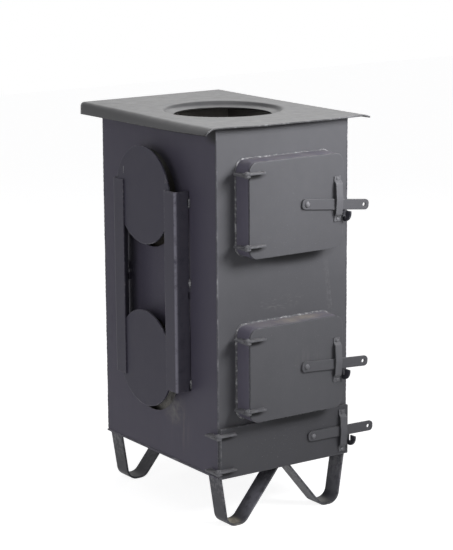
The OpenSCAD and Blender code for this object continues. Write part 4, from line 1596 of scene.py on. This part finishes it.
@dataclass
class Latch:
    """A door's latch: a lever on its rivet, the bent guide that holds it, and the catch on what carries the door.

    Attributes:
        name: Which door it shuts.
        door_body: Body of the door.
        lever_body: Body of the lever.
        face: Y of the door's face.
        plate_t: Thickness of the door.
        pivot: X and Z of the lever's rivet.
        tilt: Rise of the resting lever's free end in degrees.
        guide_place: X and Z of the guide's middle.
        guide_l: Length of the guide.
        catch_x: X of the catch's left face.
        eye: Place of the eye from the lever's free end, and its radius.
        rivet: Radius of the lever's rivet, and radius and height of its head.
        stud: The same of the guide's rivets.
        tail_end: Profile of a rivet's tail: share of the head's radius, place behind the door, and wear.
        play: Gap round the rivet in its hole.
        gap: Gap between the lever and the door.
        foot: Length of the guide's feet.
        shoulder: Place of the guide's shoulders from its ends, and their height over the feet.
        arch: Height of the guide's middle over its feet.
        lift: Gap between the resting lever and the catch's nose.
        nose: Height of the nose's end over the middle of its arc.
        nose_front: Distance of that middle in front of the door's face.
        notch: Place of the notch's back wall behind the door's face, of its front wall before that, and its depth.
    """

    name: str
    door_body: Body
    lever_body: Body
    face: float
    plate_t: float
    pivot: tuple[float, float]
    tilt: float
    guide_place: tuple[float, float]
    guide_l: float
    catch_x: float
    lever: tuple[float, float, float] = (145.0, 20.0, 8.0)
    lever_t: float = 4.0
    tail: float = 11.0
    eye: tuple[float, float] = (11.0, 3.5)
    rivet: tuple[float, float, float] = (3.0, 5.5, 3.5)
    stud: tuple[float, float, float] = (2.0, 3.5, 2.0)
    tail_end: tuple[Row, ...] = ((0.95, 0.0, 0.3), (0.7, 1.2, 0.8), (0.0, 1.5, 1.0))
    play: float = 0.05
    gap: float = 0.4
    guide_w: float = 15.0
    guide_t: float = 2.5
    foot: float = 9.0
    shoulder: tuple[float, float] = (14.0, 5.2)
    arch: float = 8.0
    catch_t: float = 4.0
    catch_r: float = 18.0
    catch_d: float = 34.0
    lift: float = 1.4
    nose: float = 3.0
    nose_front: float = 2.0
    notch: tuple[float, float, float] = (1.2, 6.0, 12.0)

    def build(self, shop: Workshop) -> None:
        """Builds the lever, its rivet, the guide with its rivets, and the catch.

        Args:
            shop: The workshop that makes the pieces.
        """
        front = self.face - self.gap - self.lever_t - 0.2
        rivet = lathe(self._rivet(*self.rivet, front), self.pivot, Facing.FRONT)
        x, z = self.guide_place
        reach = (self.guide_l - self.foot) / 2
        studs = joined([lathe(self._rivet(*self.stud, self.face - self.guide_t), (x, z + end * reach), Facing.FRONT,
                              steps=24) for end in (-1, 1)])
        for part, shell, body, finish, slot, node in (
                ("latch_lever", self._lever(), self.lever_body, LEVER_PAINT, Slot.BAR, "lever"),
                ("lever_pivot", rivet, self.door_body, RIVET_PAINT, Slot.RIVET, "lever_rivet"),
                ("strap_guide", self._guide(), self.door_body, GUIDE_PAINT, Slot.BAR, "guide"),
                ("guide_studs", studs, self.door_body, RIVET_PAINT, Slot.RIVET, "guide_rivets"),
                ("catch_plate", self._catch(), Body.FIXED, CATCH_PAINT, Slot.BAR, "catch")):
            shop.piece(f"{self.name}_{part}", shell, body, finish, slot, [f"{self.name}_{node}"])

    def _lever(self) -> Shell:
        """The flat bar with round corners, a rivet hole and an eye, turned about its rivet by the tilt.

        Returns:
            The closed surface.
        """
        length, width, radius = self.lever
        turn = math.radians(self.tilt)
        spin = np.array([[math.cos(turn), math.sin(turn)], [-math.sin(turn), math.cos(turn)]])
        bar = round_box(((length - self.tail) / 2, 0), length + self.tail, width, radius)
        holes = [circle((0, 0), self.rivet[0] + self.play, steps=32),
                 circle((length - self.eye[0], 0), self.eye[1], steps=32)]
        bar, *holes = [loop @ spin + self.pivot for loop in (bar, *holes)]
        return plate(bar, Facing.FRONT, self.face - self.gap - self.lever_t,
                     sheet_rows(self.lever_t, arris=0.6, band=1.2), holes)

    def _rivet(self, shank: float, head: float, height: float, front: float) -> Rows:
        """Profile of a rivet from the tip of its round head to its flat tail behind the door.

        The head's radius falls from its full value to 0 as the square root of one minus its height's share squared.

        Args:
            shank: Radius of the shank.
            head: Radius of the head.
            height: Height of the head.
            front: Y of the head's flat side.

        Returns:
            Rows of radius, place along the rivet and wear.
        """
        share = np.linspace(1, 0, 7)
        dome = [(float(head * math.sqrt(1 - s * s)), float(front - height * s), float(0.3 + 0.7 * s)) for s in share]
        back = self.face + self.plate_t
        end = [(head * part, back + out, wear) for part, out, wear in self.tail_end]
        return dome + [(shank, front, 0.2), (shank, back, 0.0)] + end

    def _guide(self) -> Shell:
        """The guide: a strap that leaves the door at two feet and arches over the lever.

        Returns:
            The closed surface.
        """
        x, z = self.guide_place
        half = self.guide_l / 2
        out = self.face - self.guide_t / 2
        inward, up = self.shoulder
        line = rounded([(out, z - half), (out, z - half + self.foot), (out - up, z - half + inward),
                        (out - self.arch, z), (out - up, z + half - inward), (out, z + half - self.foot),
                        (out, z + half)], [0, 3, 5, 60, 5, 3, 0], steps=6, closed=False)
        return strap(line, bar_section(self.guide_t, self.guide_w, arris=0.5, band=0.9), Facing.SIDE,
                     x - self.guide_w / 2)

    def _catch(self) -> Shell:
        """The catch: a block behind the notch, and in front of it a nose whose end is an arc about its middle.

        Returns:
            The closed surface.
        """
        turn = math.radians(self.tilt)
        reach, radius = self.catch_x - self.pivot[0], self.catch_r
        top = self.pivot[1] + reach * math.tan(turn) - self.lever[1] / 2 / math.cos(turn) - self.lift
        middle = top - self.nose
        behind, before, depth = self.notch
        back, back_wall, front_wall, floor = (self.face + self.catch_d, self.face + behind, self.face - before,
                                              top - depth)
        head = rounded([(back, middle - radius), (back, middle + radius), (back_wall, middle + radius),
                        (back_wall, floor), (front_wall, floor), (front_wall, top)],
                       [0.5, 1.5, 1.5, 1.2, 1.2, 0.8], steps=4, closed=False)
        nose = math.degrees(math.asin(self.nose / radius))
        outline = np.vstack([head, arc((self.face - self.nose_front, middle), radius, 180 - nose, 270, steps=16)])
        return plate(outline, Facing.SIDE, self.catch_x, sheet_rows(self.catch_t, arris=0.5, band=0.8))


@dataclass
class AshDoor:
    """The ash door: a shallow tray of sheet that hangs on the body's left corner.

    Attributes:
        half: Half of its width.
        depth: Depth of the tray.
        wall: X of the body's right side.
        pivot: X and Z of the lever's rivet.
        tilt: Rise of the resting lever's free end in degrees.
        guide: X and Z of the guide's middle.
    """

    face: float = -8.0
    half: float = 149.0
    low: float = 1.0
    high: float = 99.0
    depth: float = 7.7
    sheet: float = 3.0
    wall: float = HALF_WIDTH
    hinges: tuple[float, float] = (16.5, 85.5)
    pivot: tuple[float, float] = (62.0, 51.0)
    tilt: float = -1.0
    guide: tuple[float, float] = (133.0, 50.0)
    guide_l: float = 84.0

    def build(self, shop: Workshop) -> None:
        """Builds the tray, its hinges and its latch.

        Args:
            shop: The workshop that makes the pieces.
        """
        outline = rectangle((-self.half, self.low), (self.half, self.high), radius=1.5, steps=5)
        t, d = self.sheet, self.depth
        rows = [(2.0, 0.0, 0.0), (0.7, 0.0, 0.75), (0.2, 0.2, 1.0), (0.0, 0.7, 0.75), (0.0, d - 0.3, 0.4),
                (0.3, d, 1.0), (t - 0.3, d, 1.0), (t, d - 0.3, 0.4), (t, t, 0.0)]
        shop.piece("ash_door_tray", plate(outline, Facing.FRONT, self.face, rows), Body.ASH_DOOR, ASH_DOOR_PAINT,
                   Slot.BODY, ["ash_door"])
        Hinges("ash", Body.ASH_DOOR, -self.wall, self.face, self.hinges).build(shop)
        Latch("ash", Body.ASH_DOOR, Body.ASH_LEVER, self.face, self.sheet, pivot=self.pivot, tilt=self.tilt,
              guide_place=self.guide, guide_l=self.guide_l, catch_x=self.wall).build(shop)


@dataclass
class SidePorts:
    """The discs in front of the side ports and the two upright rails that carry them.

    Attributes:
        disc_x: X of the discs' outer faces.
        disc_y: Y of their middles.
        rail_out: X of the rails' outer faces.
        rail_in: X of their edges beside the body.
        rail_low: Height of their lower ends.
        rail_y: Y of the face of each rail that looks away from the discs.
        flange: Width of the rails' flanges.
        tacks: Heights of each rail's welds to the side.
        seats: Heights of the middles of the seats on which the rails stand off the side.
        wall: X of the side.
        disc_tack_out: Distance of the discs' welds above and below their middles.
    """

    disc_x: float = -180.0
    disc_t: float = 4.0
    disc_r: float = 94.5
    disc_y: float = 207.0
    disc_heights: tuple[float, float] = (516.0, 197.0)
    rail_out: float = -183.0
    rail_in: float = -152.0
    rail_t: float = 3.0
    rail_low: float = 152.0
    rail_l: float = 385.0
    rail_y: tuple[float, float] = (90.0, 310.0)
    flange: float = 37.0
    tacks: tuple[tuple[float, ...], tuple[float, ...]] = ((165.0, 361.0, 514.0), (166.0, 359.0, 523.0))
    seats: tuple[float, float, float] = (159.0, 337.5, 516.0)
    wall: float = -HALF_WIDTH
    tack: Bead = Bead(2.6, 4.2)
    disc_tack: Bead = Bead(1.1, 3.6)
    disc_tack_out: float = 40.0

    def build(self, shop: Workshop) -> None:
        """Builds the discs, the rails and their short welds.

        Args:
            shop: The workshop that makes the pieces.
        """
        for name, z in zip(("upper", "lower"), self.disc_heights):
            disc = plate(circle((self.disc_y, z), self.disc_r, steps=128), Facing.SIDE, self.disc_x,
                         sheet_rows(self.disc_t, arris=0.7, band=1.4))
            shop.piece(f"{name}_port_disc", disc, Body.FIXED, DISC_PAINT, Slot.SIDE, [f"{name}_disc"])
        self._rail(shop, "front", self.rail_y[0], 1, self.tacks[0])
        self._rail(shop, "rear", self.rail_y[1], -1, self.tacks[1])

    def _rail(self, shop: Workshop, name: str, y: float, way: int, tacks: tuple[float, ...]) -> None:
        """Builds a rail, an angle of sheet whose flange runs from its face towards the discs, with its welds.

        Args:
            shop: The workshop that makes the pieces.
            name: Front or rear.
            y: Y of the rail's face that looks away from the discs.
            way: Direction along Y of the flange.
            tacks: Heights of the tack welds to the side.
        """
        t, length = self.rail_t, self.rail_l
        corners = [(self.rail_out, y), (self.rail_in, y), (self.rail_in, y + way * t),
                   (self.rail_out + t, y + way * t), (self.rail_out + t, y + way * self.flange),
                   (self.rail_out, y + way * self.flange)]
        outline = rounded(corners, [5.0, 0.5, 0.5, 2.0, 0.5, 0.5], steps=7)
        rail = plate(outline, Facing.LEVEL, self.rail_low, [
            (0.4, 0, 1), (0, 0.4, 0.7), (0, 6, 0), (0, length - 6, 0), (0, length - 0.4, 0.7), (0.4, length, 1)])
        seat = rectangle((self.rail_in - t, y), (self.wall, y + way * t), radius=0.4)
        for z in self.seats:
            rail = rail + plate(seat, Facing.LEVEL, z - 7, [(0.3, 0, 0), (0, 0.3, 0), (0, 13.7, 0), (0.3, 14, 0)])
        shop.piece(f"{name}_rail_angle", rail, Body.FIXED, RAIL_PAINT, Slot.SIDE, [f"{name}_side_rail"])
        beads = []
        for seed, z in enumerate(tacks, start=75 if way > 0 else 70):
            path = np.array([(self.wall - out, y - way * out, z + up)
                             for out, up in ((0.6, -9), (1.2, 0), (0.6, 9))])
            beads.append(weld_bead(path, self.tack, (0, -way, 0), seed))
        for z, end in product(self.disc_heights, (-1, 1)):
            path = np.array([(self.rail_out + t + 0.8, y + way * (self.flange - 1.0), z + end * self.disc_tack_out + up)
                             for up in (-8, 8)])
            beads.append(weld_bead(path, self.disc_tack, (-1, 0, 0), 90 + int(z) + end))
        shop.piece(f"{name}_rail_welds", joined(beads), Body.FIXED, WELD_METAL, Slot.SIDE)


@dataclass
class Flue:
    """The flue collar on the back, and its weld.

    Attributes:
        height: Height of the collar's middle.
        start: Y of its foot.
    """

    height: float = FLUE_Z
    start: float = DEPTH
    length: float = 50.0
    outer: float = 60.0
    wall: float = 2.0
    weld: Bead = Bead(2.2, 4.4)

    def build(self, shop: Workshop) -> None:
        """Builds the collar as a turned ring with a rounded mouth, and its weld.

        Args:
            shop: The workshop that makes the pieces.
        """
        y0, y1, r, t = self.start, self.start + self.length, self.outer, self.wall
        profile = [(r, y0, 0), (r, y1 - 3, 0), (r, y1 - 0.4, 0.8), (r - 0.4, y1, 1), (r - t + 0.4, y1, 1),
                   (r - t, y1 - 0.4, 0.8), (r - t, y1 - 3, 0), (r - t, y0, 0)]
        ring = lathe(profile, (0, self.height), Facing.FRONT, hollow=True, steps=96)
        shop.piece("flue_ring", ring, Body.FIXED, BAR_PAINT, Slot.BODY, ["flue_collar"])
        path = Facing.FRONT.lay(circle((0, self.height), r + 0.8, steps=90), y0 + 0.4)
        bead = weld_bead(path, self.weld, (0, 1, 0), seed=33, closed=True)
        shop.piece("flue_weld", bead, Body.FIXED, WELD_METAL, Slot.BODY)


@dataclass
class Inside:
    """The nodes inside the body, which keep their solids: liner, baffle, ledges, grate and ash pan."""

    finishes: tuple[tuple[str, Finish], ...] = (
        ("smoke_baffle", INNER_STEEL), ("baffle_ledges", INNER_STEEL), ("grate_ledges", INNER_STEEL),
        ("ash_pan", PAN_STEEL), ("ash_pan_pull", PAN_STEEL), ("side_liner", LINER_PAINT), ("fire_grate", GRATE_IRON))

    def build(self, shop: Workshop) -> None:
        """Gives each node its finish."""
        for node, finish in self.finishes:
            shop.dress(node, finish)


@dataclass(frozen=True)
class Lamp:
    """A flat soft lamp.

    Attributes:
        name: Its name.
        azimuth: Its direction from the place that it looks at, round the upright.
        elevation: Its height as an angle from that place.
        distance: Its distance from that place.
        size: Its width and height.
        power: Its power in watts.
        aim: The place that it looks at, in the body's frame.
        spread: Angle of its beam in degrees.
    """

    name: str
    azimuth: float
    elevation: float
    distance: float
    size: tuple[float, float]
    power: float
    aim: Place = (0.0, 150.0, 330.0)
    spread: float = 180.0


@dataclass
class Studio:
    """The pale floor, the soft light and the camera.

    Attributes:
        target: Place that the camera was set up on, in the body's frame.
        azimuth: Direction of the view in degrees; 0 looks at the front.
        elevation: Height of the view in degrees.
        roll: Roll of the camera in degrees.
        distance: Distance of the camera from its target, in millimetres.
        lens: Focal length in millimetres.
        sensor: Width of the sensor in millimetres.
        floor_grey: Darkest and brightest grey of the floor.
        floor_glow: Brightness that the camera sees in the floor besides its own.
        bright_side: Direction from which the world is brightest.
        sky: Darkest and brightest colour of the world.
        sky_range: Parts of a direction along the bright side at which the sky is darkest and brightest.
    """

    target: Place = (-128.94, 0.0, 390.54)
    azimuth: float = -34.218
    elevation: float = 12.312
    roll: float = -0.386
    distance: float = 3768.0
    lens: float = 133.92
    sensor: float = 36.0
    floor_half: float = 6000.0
    floor_z: float = -99.4
    floor_points: int = 9
    floor_grey: tuple[float, float] = (0.46, 0.49)
    floor_glow: float = 0.88
    bright_side: Place = (0.55, -0.55, 0.63)
    sky: tuple[Colour, Colour] = ((0.08, 0.08, 0.10), (0.20, 0.20, 0.20))
    sky_range: tuple[float, float] = (-0.7, 1.0)
    lamps: tuple[Lamp, ...] = (
        Lamp("key_light", 24.0, 22.0, 1300.0, (700.0, 560.0), power=4.6, aim=(0.0, 0.0, 640.0), spread=66.0),
        Lamp("top_light", -20.0, 78.0, 2200.0, (1600.0, 1600.0), power=9.0),
        Lamp("side_light", -75.0, 9.0, 3000.0, (1900.0, 1500.0), power=20.5),
        Lamp("fill_light", -34.0, 10.0, 2500.0, (500.0, 400.0), power=3.6, aim=(0.0, 200.0, 650.0)),
        Lamp("back_light", 140.0, 38.0, 2800.0, (1400.0, 1400.0), power=8.0))

    def build(self) -> None:
        """Builds the floor, the lamps, the world and the camera."""
        self._floor()
        self._world()
        for lamp in self.lamps:
            self._hang(lamp)
        self._camera()

    @staticmethod
    def _back(azimuth: float, elevation: float) -> Array:
        """Direction from the stove to something seen from it at an azimuth and elevation."""
        a, e = math.radians(azimuth), math.radians(elevation)
        return np.array([math.sin(a) * math.cos(e), -math.cos(a) * math.cos(e), math.sin(e)])

    def _camera(self) -> None:
        """Sets the camera up from its target, angles and distance."""
        back = self._back(self.azimuth, self.elevation)
        a, r = math.radians(self.azimuth), math.radians(self.roll)
        right = np.array([math.cos(a), math.sin(a), 0.0])
        up = np.cross(back, right)
        right, up = right * math.cos(r) + up * math.sin(r), up * math.cos(r) - right * math.sin(r)
        data = bpy.data.cameras.new("camera")
        data.lens = self.lens
        data.sensor_width = self.sensor
        camera = put_in("camera", data)
        turn = np.eye(4)
        turn[:3, 0], turn[:3, 1], turn[:3, 2] = right, up, back
        turn[:3, 3] = to_metres(np.array(self.target) + back * self.distance)
        camera.matrix_world = Matrix(turn.tolist())
        bpy.context.scene.camera = camera

    def _hang(self, lamp: Lamp) -> None:
        """Hangs a lamp and turns it to the place that it looks at.

        Args:
            lamp: The lamp.
        """
        data = bpy.data.lights.new(lamp.name, "AREA")
        data.shape = "RECTANGLE"
        data.energy = lamp.power
        data.spread = math.radians(lamp.spread)
        data.size, data.size_y = (side * MM for side in lamp.size)
        light = put_in(lamp.name, data)
        back = self._back(lamp.azimuth, lamp.elevation)
        place = to_metres(np.array(lamp.aim) + back * lamp.distance)
        light.matrix_world = Matrix.Translation(place) @ Vector(back).to_track_quat("Z", "Y").to_matrix().to_4x4()

    def _floor(self) -> None:
        """Lays a wide flat floor under the feet, of a pale colour that shows white with the stove's shadow on it."""
        n = self.floor_points
        line = np.linspace(-self.floor_half, self.floor_half, n)
        x, y = np.meshgrid(line, line)
        points = np.column_stack([x.ravel(), y.ravel(), np.full(n * n, self.floor_z)])
        mesh = bpy.data.meshes.new("floor")
        mesh.from_pydata(to_metres(points).tolist(), [], grid_faces(n, n, False).tolist())
        floor = put_in("floor", mesh)
        material, graph = new_material("pale_floor")
        dark, pale = ((grey,) * 3 for grey in self.floor_grey)
        colour = graph.mixed(graph.noise(scale=3.0, detail=2.0), dark, pale)
        lift = self._seen(graph) * self.floor_glow
        paint = graph.make("BsdfPrincipled", sockets={
            "Base Color": colour, "Roughness": 0.9, "Specular IOR Level": 0.1, "Emission Color": (1, 1, 1, 1)})
        glow = graph.make("Emission", sockets={"Color": (1, 1, 1, 1), "Strength": lift})
        both = graph.make("AddShader", sockets={0: paint, 1: glow})
        graph.make("OutputMaterial", sockets={"Surface": both})
        mesh.materials.append(material)

    @staticmethod
    def _seen(graph: Graph) -> Signal:
        """Mask of rays that come from the camera, from a glossy surface or through glass."""
        kinds = [graph.make("LightPath", out=f"Is {kind} Ray") for kind in ("Camera", "Glossy", "Transmission")]
        return kinds[0] | kinds[1] | kinds[2]

    def _world(self) -> None:
        """Makes a world that looks white, and lights the stove more from the right and above than from the left."""
        world = bpy.data.worlds.new("studio")
        world.use_nodes = True
        graph = Graph(world.node_tree)
        towards = graph.make("TexCoord", out="Generated")
        bright = graph.vector("DOT_PRODUCT", towards, self.bright_side, out="Value")
        soft = graph.mixed(bright.between(*self.sky_range), *self.sky)
        colour = graph.mixed(self._seen(graph), soft, (1.0, 1.0, 1.0))
        light = graph.make("Background", sockets={"Color": colour, "Strength": 1.0})
        graph.make("OutputWorld", sockets={"Surface": light})
        bpy.context.scene.world = world


def main() -> None:
    shop = Workshop()
    assemblies = [
        BodyShell(), TopPlate(), Feet(),
        FireDoor("upper", Body.UPPER_DOOR, Body.UPPER_LEVER, middle=UPPER_Z, tilt=-6.0, weld=Bead(2.3, 4.6)),
        FireDoor("lower", Body.LOWER_DOOR, Body.LOWER_LEVER, middle=LOWER_Z, tilt=-3.5, weld=Bead(2.9, 4.6)),
        AshDoor(), SidePorts(), Flue(), Inside(),
    ]
    for assembly in assemblies:
        before = shop.made
        assembly.build(shop)
        log.info("%s: %d pieces", type(assembly).__name__, shop.made - before)
    Studio().build()
    bpy.context.scene.view_settings.view_transform = "Standard"
    bpy.context.view_layer.update()


if __name__ == "__main__":
    main()
